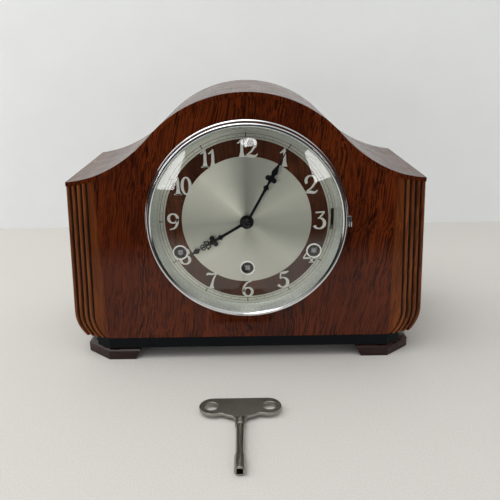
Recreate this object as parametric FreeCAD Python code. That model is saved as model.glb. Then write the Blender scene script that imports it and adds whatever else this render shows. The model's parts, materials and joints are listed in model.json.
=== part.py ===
import FreeCAD, Part
import math
import os

# Tambour mantel clock: arched wooden case, hinged bezel and glass, three-train works.
# Lengths are millimetres. The front faces -Y and +Z is up.
# The origin is under the middle of the whole set, clock and key, on the surface that they stand on.

# Case
case_depth = 128.0
dial_height = 110.6
arch_radius = 91.2
hollow_radius = 100.0
shoulder_half_width = 129.3
shoulder_height = 140.2
roof_thickness = 3.0
roof_overhang = 0.8
moulding_width = 21.6
panel_thickness = 12.0
side_thickness = 8.0
side_inset = 1.2
back_thickness = 6.0
floor_thickness = 8.0

# Reeded mouldings at the two front corners
reed_count = 4
reed_pitch = 4.2
reed_rise = 1.7
reed_groove_share = 0.38
reed_step = 1.6
reed_facets = 3
cheek_recess = 1.2
cheek_width = 11.0
flare = 4.3
foot_curve_radius = 28.0
foot_curve_rise = 20.0

# Plinth and feet
plinth_height = 8.5
plinth_half_width = 118.0
plinth_corner_width = 10.5
plinth_corner_depth = 6.5
foot_height = 10.0
foot_outer = 127.5
foot_chamfer_width = 19.0
foot_chamfer_depth = 16.0
foot_inner_top = 82.5
foot_inner_bottom = 88.0
foot_depth = 40.0
foot_bevel = 3.0

# Back door
door_half_width = 62.0
door_bottom = 34.0
door_arch_radius = 66.0
door_gap = 0.5
door_stop_size = 12.0
door_stop_thickness = 4.0
door_stop_lap = 5.0
sound_slot_length = 60.0
sound_slot_width = 5.0
sound_slot_pitch = 11.0
sound_slot_height = 62.0
leaf_length = 20.0
leaf_width = 10.0
leaf_thickness = 0.8
knuckle_radius = 1.8
hinge_height_lower = 58.0
hinge_height_upper = 112.0
button_length = 24.0
button_width = 8.0
button_thickness = 2.5
button_offset = 8.0

# Dial
dial_recess = 3.5
dial_thickness = 0.8
dial_radius = 69.0
dial_fit = 0.2
dial_foot_size = 3.0
dial_foot_place = 30.0
ring_outer_radius = 59.2
disc_radius = 47.05
veneer_thickness = 0.6
winding_circle = 54.6
winding_angle = 115.6
middle_winding_drop = 36.5
winding_hole_radius = 4.55
dial_centre_hole = 4.0

# Chime and silent lever
lever_slot_place = 62.0
lever_slot_width = 2.4
lever_slot_top = 8.5
lever_slot_bottom = 7.2
lever_pivot_place = 14.0
lever_pivot_rise = 1.2
lever_tip_drop = 5.0
lever_tip_size = 0.9
lever_arm_width = 2.4
lever_thickness = 0.7
lever_tip_reach = 1.6
lever_play = 0.1

# Bezel and glass
bezel_radius = 73.0
bezel_height = 8.0
bezel_rim = 2.5
bezel_crown = 4.0
bezel_lip_radius = 69.3
bezel_gap = 1.1
reflector_radius = 65.2
reflector_wall = 0.8
reflector_gap = 0.6
glass_radius = 68.1
glass_thickness = 1.5
glass_rise = 7.0
glass_setback = 0.7
bezel_hinge_reach = 1.8
bezel_hinge_setback = 1.9
bezel_knuckle_radius = 1.2
bezel_pin_radius = 0.7
bezel_leaf_length = 4.0
bezel_leaf_width = 4.5
bezel_leaf_thickness = 0.5

# Hands
hour_angle = 239.5
minute_angle = 28.8
hand_thickness = 0.8
hour_hand_setback = 0.2
minute_hand_gap = 1.4
hour_length = 49.7
hour_hub_radius = 5.0
minute_length = 61.4
minute_hub_radius = 3.6
nut_radius = 3.3
nut_height = 2.4

# Works: two plates held apart by pillars
works_setback = 18.0
plate_thickness = 1.5
plate_gap = 40.5
plate_half_width = 72.0
plate_top_half_width = 40.0
plate_top = 46.0
plate_shoulder = 10.0
plate_bottom = 52.0
pillar_radius = 3.0
pillar_sides = 6
shaft_sides = 8
barrel_sides = 24
bracket_width = 12.0
bracket_reach = 12.0
bracket_thickness = 1.5
bracket_height_upper = 2.0
bracket_height_lower = -40.0
running_fit = 0.05
end_shake = 0.3

# Wheels: module shares that set the tooth form, and the tooth counts
addendum_share = 0.85
dedendum_share = 1.3
great_teeth = 36
centre_pinion_leaves = 6
centre_wheel_teeth = 30
third_pinion_leaves = 6
third_wheel_teeth = 30
escape_pinion_leaves = 6
escape_teeth = 15
side_great_teeth = 32
drum_pinion_leaves = 8
cannon_leaves = 6
minute_wheel_teeth = 18
minute_pinion_leaves = 6
hour_wheel_teeth = 24
wheel_thickness = 1.4
pinion_length = 4.5

# Places of the arbors, from the dial's centre
third_distance = 14.7
escape_distance = 12.6
escape_height = 22.0
pallet_distance = 13.0
drum_distance = 24.0
drum_angle = 80.0
minute_wheel_distance = 12.0
minute_wheel_angle = 150.0

# Arbors and barrels
arbor_radius = 1.2
train_arbor_radius = 0.9
winding_arbor_radius = 2.6
winding_square = 3.6
winding_square_length = 12.0
middle_drum_radius = 16.0
side_drum_radius = 16.0
middle_drum_length = 27.0
side_drum_length = 22.0
ratchet_radius = 8.0
ratchet_teeth = 12
ratchet_depth = 1.6
ratchet_thickness = 1.5
click_length = 9.0
click_width = 2.4
click_gap = 0.5

# Motion work
cannon_outer = 2.3
hour_tube_outer = 3.1
motion_stud_radius = 0.9

# Escapement and pendulum
escape_radius = 8.5
escape_tooth_depth = 2.6
anchor_thickness = 2.5
anchor_outline_shares = [
    (0.16, 0.16), (0.74, -0.22), (0.72, -0.585), (0.577, -0.523), (0.585, -0.323), (0.12, -0.12),
]
crutch_length = 26.0
crutch_width = 3.0
crutch_thickness = 1.2
crutch_pin_size = 1.0
crutch_setback = 1.0
cock_reach = 3.5
cock_thickness = 3.0
cock_half_width = 6.0
cock_rise = 3.0
pendulum_setback = 6.0
pendulum_length = 78.0
pendulum_rod_width = 3.0
pendulum_rod_thickness = 1.0
pendulum_gap = 0.4
bob_radius = 13.0
bob_thickness = 5.0

# Chime work behind the back plate
drum_radius = 7.0
drum_setback = 8.0
drum_length = 34.0
drum_pin_height = 1.5
drum_pin_size = 1.0
pins_per_row = 2
hammer_count = 4
hammer_pitch = 8.0
hammer_setback = 13.0
hammer_arbor_place = 61.0
hammer_arbor_drop = 38.0
hammer_arbor_radius = 1.6
hammer_hub_size = 6.4
hammer_thickness = 2.6
hammer_arm_width = 2.4
hammer_head_place = 38.0
hammer_head_drop = 58.0
hammer_head_size = 5.5
hammer_head_length = 7.0
hammer_tail_place = 62.2
hammer_tail_drop = 3.0
chime_rod_radius = 1.2
hammer_gap = 1.5
rod_block_place = 80.0
rod_block_width = 15.0
rod_block_margin = 7.0
rod_block_rise = 8.0
longest_rod = 150.0
rod_step = 9.0
bracket_plate_thickness = 1.5
bracket_plate_margin = 7.0
bracket_post_size = 4.0

# Winding key, lying in front of the clock
key_place = -6.0
key_socket_distance = 136.0
key_length = 73.0
key_width = 55.0
key_wing_depth = 24.0
key_wing_thickness = 2.0
key_hole_radius = 4.6
key_hole_place = 19.4
key_shaft_radius = 2.6
key_collar_radius = 3.4
key_collar_length = 14.0
key_neck_length = 6.0
key_square = 3.8
key_square_depth = 12.0

# How far a cutting tool runs past what it cuts
overrun = 5.0
edge_tolerance = 0.001

# Depths of the wheels between the plates, from the inner face of the front plate
great_level = 2.5
centre_level = 15.0
third_level = 24.0
escape_level = 34.0
side_great_level = 31.0
ratchet_lean = 0.85
# Depths of the motion work, forward from the front plate
minute_wheel_level = 3.0
hour_wheel_level = 6.2

# Levels that follow from the sizes above, with the origin in the middle of the whole set's footprint
panel_half_width = shoulder_half_width - moulding_width
footprint_shift = (key_socket_distance - 2 * knuckle_radius - end_shake) / 2
front = footprint_shift - case_depth / 2
back = footprint_shift + case_depth / 2
plinth_top = foot_height + plinth_height
floor_top = plinth_top + floor_thickness
dial_face = front + dial_recess
dial_back = dial_face + dial_thickness
veneer_face = dial_face - veneer_thickness
bezel_back = front - bezel_gap
bezel_front = front - bezel_height
front_plate_face = front + works_setback
front_plate_back = front_plate_face + plate_thickness
back_plate_face = front_plate_back + plate_gap
works_back = back_plate_face + plate_thickness


def vector(x, y, z):
    return FreeCAD.Vector(x, y, z)


def save(name, shape):
    shape.exportStep("parts/" + name + ".step")


def face_of(points):
    """Flat face inside a closed polygon."""
    return Part.Face(Part.makePolygon(points + [points[0]]))


def plate(outline, y_from, y_to):
    """Board whose outline is drawn in X and Z, between two depths."""
    drawn = face_of([vector(x, y_from, z) for x, z in outline])
    return drawn.extrude(vector(0, y_to - y_from, 0))


def standing(outline, z_from, z_to):
    """Block whose outline is drawn in X and Y, between two heights."""
    drawn = face_of([vector(x, y, z_from) for x, y in outline])
    return drawn.extrude(vector(0, 0, z_to - z_from))


def box(x_from, x_to, y_from, y_to, z_from, z_to):
    corner = vector(x_from, y_from, z_from)
    return Part.makeBox(x_to - x_from, y_to - y_from, z_to - z_from, corner)


def spindle(radius, y_from, y_to, place=(0, dial_height)):
    """Round bar along Y through a place in X and Z."""
    start = vector(place[0], y_from, place[1])
    return Part.makeCylinder(radius, y_to - y_from, start, vector(0, 1, 0))


def tube(outer, inner, y_from, y_to, place=(0, dial_height)):
    bore = spindle(inner, y_from - overrun, y_to + overrun, place)
    return spindle(outer, y_from, y_to, place).cut(bore)


def rounded(radius, sides, place):
    """Regular outline in a circle, for round pieces that repeat."""
    return [from_place(place, radius, 360 * corner / sides) for corner in range(sides)]


def bar(radius, y_from, y_to, place=(0, dial_height)):
    """Shaft of a few flats along Y."""
    return plate(rounded(radius, shaft_sides, place), y_from, y_to)


def upright(radius, x, y, z_from, z_to):
    return Part.makeCylinder(radius, z_to - z_from, vector(x, y, z_from))


def turned(profile, place=(0, dial_height)):
    """Solid turned about an axis along Y, from points of radius and depth."""
    drawn = face_of([vector(radius, y, 0) for radius, y in profile])
    drawn.translate(vector(place[0], 0, place[1]))
    axis_point = vector(place[0], 0, place[1])
    return drawn.revolve(axis_point, vector(0, 1, 0), 360)


def mirrored(shape):
    return shape.mirror(vector(0, 0, 0), vector(1, 0, 0))


def fused(shapes):
    whole = shapes[0].multiFuse(shapes[1:])
    return whole.removeSplitter()


def from_dial(x, z):
    """Place in X and Z, given from the dial's centre."""
    return (x, dial_height + z)


def from_place(place, distance, degrees):
    """Place at a distance from another, in a direction counted from +X towards +Z."""
    angle = math.radians(degrees)
    return (place[0] + distance * math.cos(angle), place[1] + distance * math.sin(angle))


def gap_between(one, other):
    return math.hypot(other[0] - one[0], other[1] - one[1])


def direction_between(one, other):
    return math.atan2(other[1] - one[1], other[0] - one[0])


# Places of the arbors
winding_turn = math.radians(winding_angle)
dial_centre = from_dial(0, 0)
middle_barrel_place = from_dial(0, -middle_winding_drop)
chime_barrel_place = from_dial(
    winding_circle * math.sin(winding_turn), winding_circle * math.cos(winding_turn)
)
strike_barrel_place = (-chime_barrel_place[0], chime_barrel_place[1])
third_rise = (third_distance**2 - escape_distance**2 + escape_height**2) / (2 * escape_height)
third_place = from_dial(math.sqrt(third_distance**2 - third_rise**2), third_rise)
escape_place = from_dial(0, escape_height)
pallet_place = from_dial(0, escape_height + pallet_distance)
drum_place = from_place(chime_barrel_place, drum_distance, drum_angle)
second_place = (-drum_place[0], drum_place[1])
minute_wheel_place = from_place(dial_centre, minute_wheel_distance, minute_wheel_angle)
hammer_arbor = from_dial(hammer_arbor_place, -hammer_arbor_drop)


# Case


def roof_circle():
    """Centre of the right-hand hollow curve, and the lean at which it leaves the arch."""
    across = shoulder_half_width
    up = shoulder_height - dial_height
    reach = arch_radius + hollow_radius
    span = math.hypot(across, up)
    spread = math.acos((span**2 + reach**2 - hollow_radius**2) / (2 * span * reach))
    lean = math.atan2(across, up) - spread
    return reach * math.sin(lean), dial_height + reach * math.cos(lean), lean


def under_roof(inset, half_width, bottom, y_from, y_to):
    """Everything under the case's top outline, or under a line set inside it."""
    centre_x, centre_z, lean = roof_circle()
    arch = arch_radius - inset
    hollow = hollow_radius + inset
    reach_x = centre_x - half_width
    end_z = centre_z - math.sqrt(hollow**2 - reach_x**2)
    join_x = arch * math.sin(lean)
    join_z = dial_height + arch * math.cos(lean)
    end_angle = math.asin(reach_x / hollow)
    middle = (end_angle + lean) / 2
    middle_x = centre_x - hollow * math.sin(middle)
    middle_z = centre_z - hollow * math.cos(middle)

    def at(x, z):
        return vector(x, y_from, z)

    edges = [
        Part.Arc(at(-half_width, end_z), at(-middle_x, middle_z), at(-join_x, join_z)),
        Part.Arc(at(-join_x, join_z), at(0, dial_height + arch), at(join_x, join_z)),
        Part.Arc(at(join_x, join_z), at(middle_x, middle_z), at(half_width, end_z)),
        Part.LineSegment(at(half_width, end_z), at(half_width, bottom)),
        Part.LineSegment(at(half_width, bottom), at(-half_width, bottom)),
        Part.LineSegment(at(-half_width, bottom), at(-half_width, end_z)),
    ]
    drawn = Part.Face(Part.Wire([edge.toShape() for edge in edges]))
    return drawn.extrude(vector(0, y_to - y_from, 0))


def side_path():
    """Offsets of the right side's outline: upper end, start, middle and end of its curve."""
    top = dial_height + arch_radius
    start_z = plinth_top + foot_curve_rise
    slope = flare / (shoulder_height - start_z)
    lean = math.atan(slope)
    centre_x = flare - foot_curve_radius * math.cos(lean)
    centre_z = start_z - foot_curve_radius * math.sin(lean)
    turn = math.asin((centre_z - plinth_top) / foot_curve_radius)
    half = (turn - lean) / 2
    return [
        (slope * (shoulder_height - top), top),
        (flare, start_z),
        (centre_x + foot_curve_radius * math.cos(half), centre_z - foot_curve_radius * math.sin(half)),
        (centre_x + foot_curve_radius * math.cos(turn), plinth_top),
    ]


def between_sides(half_width, y_from, y_to):
    """Everything between the two side outlines, above the plinth."""
    top, start, middle, end = side_path()

    def at(sign, offset):
        return vector(sign * (half_width + offset[0]), y_from, offset[1])

    edges = [
        Part.LineSegment(at(1, top), at(1, start)),
        Part.Arc(at(1, start), at(1, middle), at(1, end)),
        Part.LineSegment(at(1, end), at(-1, end)),
        Part.Arc(at(-1, end), at(-1, middle), at(-1, start)),
        Part.LineSegment(at(-1, start), at(-1, top)),
        Part.LineSegment(at(-1, top), at(1, top)),
    ]
    drawn = Part.Face(Part.Wire([edge.toShape() for edge in edges]))
    return drawn.extrude(vector(0, y_to - y_from, 0))


def reed_outline():
    """Plan of the right-hand moulding, from the panel out over the reeds."""
    first = shoulder_half_width - reed_count * reed_pitch
    inner = first - cheek_width
    groove = reed_groove_share * reed_pitch
    half_reed = (reed_pitch - groove) / 2
    points = [(inner, front + cheek_recess), (first, front + cheek_recess)]
    for reed in range(reed_count):
        left = first + reed * reed_pitch
        depth = front + cheek_recess + reed_rise + reed * reed_step
        points.append((left, depth))
        for facet in range(reed_facets + 1):
            turn = math.pi * facet / reed_facets
            across = left + groove + half_reed * (1 - math.cos(turn))
            points.append((across, depth - reed_rise * math.sin(turn)))
    points.append((shoulder_half_width, front + panel_thickness))
    points.append((inner, front + panel_thickness))
    return points


def reeded_moulding():
    """Right-hand moulding: its plan moved down along the side's outline."""
    outline = [vector(x, y, 0) for x, y in reed_outline()]
    top, start, middle, end = [vector(x, 0, z) for x, z in side_path()]
    faces = [face_of([p + top for p in outline]), face_of([p + end for p in outline])]
    for here, there in zip(outline, outline[1:] + outline[:1]):
        run = there - here
        faces.append(Part.LineSegment(here + top, here + start).toShape().extrude(run))
        faces.append(Part.Arc(here + start, here + middle, here + end).toShape().extrude(run))
    shell = Part.makeShell(faces)
    shell.sewShape()
    body = Part.makeSolid(shell)
    rear = front + panel_thickness
    roof_line = under_roof(roof_thickness, shoulder_half_width + overrun, 0, front - overrun, rear + overrun)
    panel_space = box(0, panel_half_width, front - overrun, rear + overrun, 0, dial_height + arch_radius)
    return body.common(roof_line).cut(panel_space)


def front_panel():
    rear = front + panel_thickness
    board = under_roof(roof_thickness, panel_half_width, plinth_top, front, rear)
    return board.cut(spindle(dial_radius + dial_fit, front - overrun, rear + overrun))


def top_sheet():
    """Bent sheet over the case, with its front corners set back over the reeds."""
    lip = front - roof_overhang
    sheet = under_roof(0, shoulder_half_width, dial_height, lip, back)
    inside = under_roof(
        roof_thickness, shoulder_half_width + overrun, dial_height - overrun, lip - overrun, back + overrun
    )
    sheet = sheet.cut(inside)
    run = shoulder_half_width - panel_half_width
    setback = reed_count * reed_step * (run + overrun) / run
    corner = standing(
        [
            (panel_half_width, lip),
            (shoulder_half_width + overrun, lip + setback),
            (shoulder_half_width + overrun, lip - overrun),
            (panel_half_width, lip - overrun),
        ],
        dial_height,
        shoulder_height + arch_radius,
    )
    return sheet.cut(corner).cut(mirrored(corner))


def side_panel():
    """Right-hand side board, bent in at the bottom like the moulding."""
    outer = shoulder_half_width - side_inset
    y_from = front + panel_thickness
    y_to = back - back_thickness
    board = between_sides(outer, y_from, y_to).cut(
        between_sides(outer - side_thickness, y_from - overrun, y_to + overrun)
    )
    right = box(0, shoulder_half_width + 2 * flare, y_from, y_to, 0, dial_height + arch_radius)
    roof_line = under_roof(roof_thickness, shoulder_half_width + overrun, 0, y_from, y_to)
    return board.common(right).common(roof_line)


def door_outline(grow, y_from, y_to):
    """Door board, or its opening when grown."""
    half = door_half_width + grow
    arch = door_arch_radius + grow
    spring = dial_height + math.sqrt(arch**2 - half**2)
    bottom = door_bottom - grow

    def at(x, z):
        return vector(x, y_from, z)

    edges = [
        Part.Arc(at(-half, spring), at(0, dial_height + arch), at(half, spring)),
        Part.LineSegment(at(half, spring), at(half, bottom)),
        Part.LineSegment(at(half, bottom), at(-half, bottom)),
        Part.LineSegment(at(-half, bottom), at(-half, spring)),
    ]
    drawn = Part.Face(Part.Wire([edge.toShape() for edge in edges]))
    return drawn.extrude(vector(0, y_to - y_from, 0))


def back_panel():
    y_from = back - back_thickness
    board = between_sides(shoulder_half_width - side_inset, y_from, back)
    board = board.common(under_roof(roof_thickness, shoulder_half_width + overrun, 0, y_from, back))
    return board.cut(door_outline(door_gap, y_from - overrun, back + overrun))


def back_door():
    y_from = back - back_thickness
    board = door_outline(0, y_from, back)
    slots = []
    for step in (-1, 0, 1):
        z = sound_slot_height + step * sound_slot_pitch
        slots.append(
            box(
                -sound_slot_length / 2, sound_slot_length / 2, y_from - overrun, back + overrun,
                z - sound_slot_width / 2, z + sound_slot_width / 2
            )
        )
    return board.cut(Part.makeCompound(slots))


def door_stops():
    """Blocks glued inside the back panel, against which the door closes."""
    y_to = back - back_thickness
    edge = door_half_width + door_gap
    blocks = []
    for level in (hinge_height_lower, hinge_height_upper):
        z_to = level + door_stop_size
        x_from = edge - door_stop_lap
        blocks.append(box(x_from, x_from + door_stop_size, y_to - door_stop_thickness, y_to, level, z_to))
    return Part.makeCompound(blocks)


def floor_board():
    y_from = front + panel_thickness
    y_to = back - back_thickness
    inside = between_sides(shoulder_half_width - side_inset - side_thickness, y_from, y_to)
    layer = box(
        -shoulder_half_width, shoulder_half_width, y_from, y_to, plinth_top, floor_top
    )
    return inside.common(layer)


def plinth():
    outline = [
        (-plinth_half_width, front + plinth_corner_depth),
        (-plinth_half_width + plinth_corner_width, front),
        (plinth_half_width - plinth_corner_width, front),
        (plinth_half_width, front + plinth_corner_depth),
        (plinth_half_width, back),
        (-plinth_half_width, back),
    ]
    return standing(outline, foot_height, plinth_top)


def foot():
    """Front right foot: chamfered outer corner, slanted inner end, bevelled top edge."""
    outline = [
        (foot_inner_top, front),
        (foot_outer - foot_chamfer_width, front),
        (foot_outer, front + foot_chamfer_depth),
        (foot_outer, front + foot_depth),
        (foot_inner_top, front + foot_depth),
    ]
    block = standing(outline, 0, foot_height)
    rear = front + foot_depth + overrun
    undercut = plate(
        [
            (foot_inner_top, foot_height),
            (foot_inner_bottom, 0),
            (foot_inner_top - overrun, 0),
            (foot_inner_top - overrun, foot_height),
        ],
        front - overrun,
        rear,
    )
    block = block.cut(undercut)
    upper = []
    for edge in block.Edges:
        ends = [vertex.Point for vertex in edge.Vertexes]
        is_top = all(abs(end.z - foot_height) < edge_tolerance for end in ends)
        is_outer = max(end.x for end in ends) > foot_outer - overrun
        is_front = min(end.y for end in ends) < front + foot_bevel
        is_rear = min(end.y for end in ends) > front + foot_depth - foot_bevel
        if is_top and (is_outer or is_front) and not is_rear:
            upper.append(edge)
    return block.makeChamfer(foot_bevel, upper)


def turned_back(shape):
    """The same piece at the back of the case."""
    return shape.mirror(vector(0, footprint_shift, 0), vector(0, 1, 0))


def door_hinge_axis():
    return -door_half_width - door_gap / 2, back + knuckle_radius + end_shake


def door_hinge_leaves():
    """Flat leaves on the door, each ending in a strip that lies beside the barrel."""
    axis_x, axis_y = door_hinge_axis()
    x_from = axis_x + knuckle_radius + end_shake
    x_to = axis_x + leaf_width
    leaves = []
    for level in (hinge_height_lower, hinge_height_upper):
        leaves.append(box(x_from, x_to, back, back + leaf_thickness, level, level + leaf_length))
    return Part.makeCompound(leaves)


def case_hinge_leaves():
    """Leaves on the back panel, with the barrels that the door turns about."""
    axis_x, axis_y = door_hinge_axis()
    pieces = []
    for level in (hinge_height_lower, hinge_height_upper):
        z_to = level + leaf_length
        leaf = box(axis_x - leaf_width, axis_x, back, back + leaf_thickness, level, z_to)
        pieces.append(fused([leaf, upright(knuckle_radius, axis_x, axis_y, level, z_to)]))
    return Part.makeCompound(pieces)


def turn_button():
    """Button on the back panel, standing upright and clear of the door."""
    x = door_half_width + button_offset
    y_from = back + end_shake
    half = button_width / 2
    low = dial_height - half
    end = low + button_length
    outline = [
        (x - half, low), (x + half, low), (x + half, end - half), (x + half / 2, end),
        (x - half / 2, end), (x - half, end - half),
    ]
    return plate(outline, y_from, y_from + button_thickness)


# Dial


def winding_places():
    return [middle_barrel_place, strike_barrel_place, chime_barrel_place]


def winding_holes():
    y_from = veneer_face - overrun
    return Part.makeCompound(
        [spindle(winding_hole_radius, y_from, dial_back + overrun, place) for place in winding_places()]
    )


def dial_plate():
    """Silvered plate on four feet that stand on the front plate of the works."""
    disc = spindle(dial_radius, dial_face, dial_back)
    disc = disc.cut(spindle(dial_centre_hole, dial_face - overrun, dial_back + overrun))
    slot = box(
        lever_slot_place - lever_slot_width / 2,
        lever_slot_place + lever_slot_width / 2,
        dial_face - overrun,
        dial_back + overrun,
        dial_height - lever_slot_bottom,
        dial_height + lever_slot_top,
    )
    half = dial_foot_size / 2
    feet = []
    for x, z in ((dial_foot_place, dial_foot_place), (dial_foot_place, -plate_bottom + 2 * dial_foot_size)):
        for centre in (-x, x):
            feet.append(
                box(
                    centre - half, centre + half, dial_back, front_plate_face,
                    dial_height + z - half, dial_height + z + half
                )
            )
    return fused([disc.cut(winding_holes()).cut(slot)] + feet)


def wood_ring():
    """Veneered numeral ring, laid on the plate around its silvered centre."""
    return tube(ring_outer_radius, disc_radius, veneer_face, dial_face).cut(winding_holes())


def chime_silent_lever():
    """Arm behind the dial whose tip comes out through the slot."""
    pivot = from_dial(lever_pivot_place, lever_pivot_rise)
    reach = lever_slot_place - lever_pivot_place
    y_from = dial_back + lever_thickness
    y_to = y_from + lever_thickness
    half = lever_arm_width / 2
    arm = box(pivot[0] - half, lever_slot_place + half, y_from, y_to, pivot[1] - half, pivot[1] + half)
    boss_back = dial_back + lever_play
    boss = box(pivot[0] - half, pivot[0] + half, boss_back, y_from, pivot[1] - half, pivot[1] + half)
    tip = box(
        lever_slot_place - lever_tip_size / 2,
        lever_slot_place + lever_tip_size / 2,
        dial_face - lever_tip_reach,
        y_from,
        pivot[1] - half,
        pivot[1] + half,
    )
    lever = fused([arm, boss, tip])
    drop = math.degrees(math.asin((lever_tip_drop + lever_pivot_rise) / reach))
    lever.rotate(vector(pivot[0], 0, pivot[1]), vector(0, 1, 0), drop)
    return lever


# Bezel


def bezel_ring():
    """Spun ring with a sloped front, an inner reflector and a hinge lug."""
    reflector_back = dial_face - reflector_gap
    ring = turned(
        [
            (bezel_radius, bezel_back),
            (bezel_radius, bezel_front + bezel_crown),
            (bezel_lip_radius, bezel_front),
            (reflector_radius, reflector_back),
            (bezel_lip_radius - reflector_wall, bezel_back),
        ]
    )
    axis_x, axis_y = bezel_hinge_axis()
    lug = box(
        bezel_radius - bezel_rim / 2,
        axis_x + bezel_pin_radius,
        axis_y - bezel_pin_radius,
        axis_y + bezel_pin_radius,
        dial_height + end_shake,
        dial_height + bezel_leaf_length,
    )
    return fused([ring, lug])


def bezel_hinge_axis():
    return bezel_radius + bezel_hinge_reach, front - bezel_hinge_setback


def bezel_hinge():
    """Leaf on the panel under the bezel, with its knuckle."""
    axis_x, axis_y = bezel_hinge_axis()
    z_from = dial_height - bezel_leaf_length
    leaf = box(axis_x - bezel_leaf_width, axis_x, front - bezel_leaf_thickness, front, z_from, dial_height)
    web = box(axis_x - bezel_pin_radius, axis_x + bezel_pin_radius, axis_y, front, z_from, dial_height)
    knuckle = upright(bezel_knuckle_radius, axis_x, axis_y, z_from, dial_height)
    return fused([leaf, web, knuckle])


def dial_glass():
    """Domed glass of even thickness, held inside the bezel's lip."""
    rim_front = bezel_front + glass_setback
    dome = (glass_radius**2 + glass_rise**2) / (2 * glass_rise)
    centre = vector(0, rim_front - glass_rise + dome, dial_height)
    sideways = vector(1, 0, 0)
    outside = Part.makeSphere(dome, centre, sideways)
    inside = Part.makeSphere(dome, centre + vector(0, glass_thickness, 0), sideways)
    rod = spindle(glass_radius, rim_front - 2 * glass_rise, rim_front + glass_thickness)
    return rod.common(outside).cut(inside)


# Wheels


def toothed(teeth, module, phase, y_from, y_to, place):
    """Toothed wheel with straight flanks; the phase is the direction of one tooth."""
    pitch = 2 * math.pi / teeth
    tip = module * (teeth / 2 + addendum_share)
    root = module * (teeth / 2 - dedendum_share)
    outline = []
    for tooth in range(teeth):
        middle = phase + tooth * pitch
        for radius, angle in ((tip, middle), (root, middle + pitch / 2)):
            outline.append((place[0] + radius * math.cos(angle), place[1] + radius * math.sin(angle)))
    return plate(outline, y_from, y_to)


def saw_toothed(teeth, radius, depth, y_from, y_to, place, lean):
    """Ratchet or escape wheel with pointed teeth that lean one way."""
    outline = []
    for tooth in range(teeth):
        for reach, turn in ((radius, 0), (radius - depth, lean)):
            angle = 2 * math.pi * (tooth + turn) / teeth
            outline.append((place[0] + reach * math.cos(angle), place[1] + reach * math.sin(angle)))
    return plate(outline, y_from, y_to)


def module_for(one, other, teeth, leaves):
    return 2 * gap_between(one, other) / (teeth + leaves)


def meshed_phase(one, other, teeth, leaves, phase):
    """Phase that puts the other wheel in mesh with the first one."""
    direction = direction_between(one, other)
    return direction + math.pi + math.pi / leaves - (phase - direction) * teeth / leaves


# Works


def plate_outline():
    top = dial_height + plate_top
    shoulder = dial_height + plate_shoulder
    bottom = dial_height - plate_bottom
    return [
        (-plate_half_width, bottom),
        (-plate_half_width, shoulder),
        (-plate_top_half_width, top),
        (plate_top_half_width, top),
        (plate_half_width, shoulder),
        (plate_half_width, bottom),
    ]


def works_plate(y_from, arbors):
    """Plate of the works with a hole for each arbor that passes through it."""
    y_to = y_from + plate_thickness
    holes = [
        spindle(radius + running_fit, y_from - overrun, y_to + overrun, place) for place, radius in arbors
    ]
    return plate(plate_outline(), y_from, y_to).cut(Part.makeCompound(holes))


def click_places(place, side):
    """Click's pivot and nose beside a ratchet wheel."""
    nose = (place[0] - side * click_gap, place[1] + ratchet_radius + click_gap)
    pivot = (nose[0] + side * click_length, nose[1] + click_width / 2)
    return pivot, nose


def click_side(place):
    return -1 if place == strike_barrel_place else 1


def front_plate():
    arbors = [(place, winding_arbor_radius) for place in winding_places()]
    return works_plate(front_plate_face, arbors + [(dial_centre, arbor_radius)])


def back_plate():
    """Rear plate with the cock that the pendulum hangs from."""
    board = works_plate(back_plate_face, [(pallet_place, train_arbor_radius), (drum_place, arbor_radius)])
    low = pallet_place[1] + cock_rise
    cock_end = pendulum_level() + cock_reach
    cock = box(-cock_half_width, cock_half_width, works_back, cock_end, low, low + cock_thickness)
    return fused([board, cock])


def pillars():
    """Four hexagonal pillars between the plates."""
    inset = 2 * pillar_radius
    low = dial_height - plate_bottom + inset
    high = dial_height + plate_top - inset
    pieces = []
    for sign in (-1, 1):
        for place in ((plate_half_width - inset, low), (plate_top_half_width - inset, high)):
            outline = rounded(pillar_radius, pillar_sides, (sign * place[0], place[1]))
            pieces.append(plate(outline, front_plate_back, back_plate_face))
    return Part.makeCompound(pieces)


def movement_brackets():
    """Four straps from the front plate to the back of the case's front."""
    rear = front + panel_thickness
    inner = plate_half_width - bracket_reach / 2
    web = plate_half_width
    outline = [
        (inner, front_plate_face),
        (inner, front_plate_face - bracket_thickness),
        (web, front_plate_face - bracket_thickness),
        (web, rear),
        (web + bracket_reach, rear),
        (web + bracket_reach, rear + bracket_thickness),
        (web + bracket_thickness, rear + bracket_thickness),
        (web + bracket_thickness, front_plate_face),
    ]
    straps = []
    for level in (bracket_height_lower, bracket_height_upper):
        z_from = dial_height + level - bracket_width / 2
        strap = standing(outline, z_from, z_from + bracket_width)
        straps += [strap, mirrored(strap)]
    return Part.makeCompound(straps)


def winding_arbor(place, cap):
    """Squared winding arbor with its ratchet wheel, up to the barrel's cap."""
    y_square = dial_face + winding_square_length
    half = winding_square / 2
    square = box(place[0] - half, place[0] + half, dial_face, y_square, place[1] - half, place[1] + half)
    shaft = bar(winding_arbor_radius, y_square, cap - end_shake, place)
    y_ratchet = front_plate_face - end_shake
    lean = ratchet_lean if click_side(place) > 0 else 1 - ratchet_lean
    ratchet = saw_toothed(
        ratchet_teeth, ratchet_radius, ratchet_depth, y_ratchet - ratchet_thickness, y_ratchet, place, lean
    )
    return fused([square, shaft, ratchet])


def click(place):
    """Pawl beside the ratchet wheel, its nose just clear of the tooth tips."""
    side = click_side(place)
    pivot, nose = click_places(place, side)
    y_to = front_plate_face - end_shake
    half = click_width / 2
    heel = pivot[0] + side * click_width
    outline = [
        nose,
        (pivot[0], pivot[1] - half),
        (heel, pivot[1] - half / 2),
        (heel, pivot[1] + half / 2),
        (pivot[0], pivot[1] + half),
        (nose[0], nose[1] + half),
    ]
    return plate(outline, y_to - ratchet_thickness, y_to)


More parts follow.
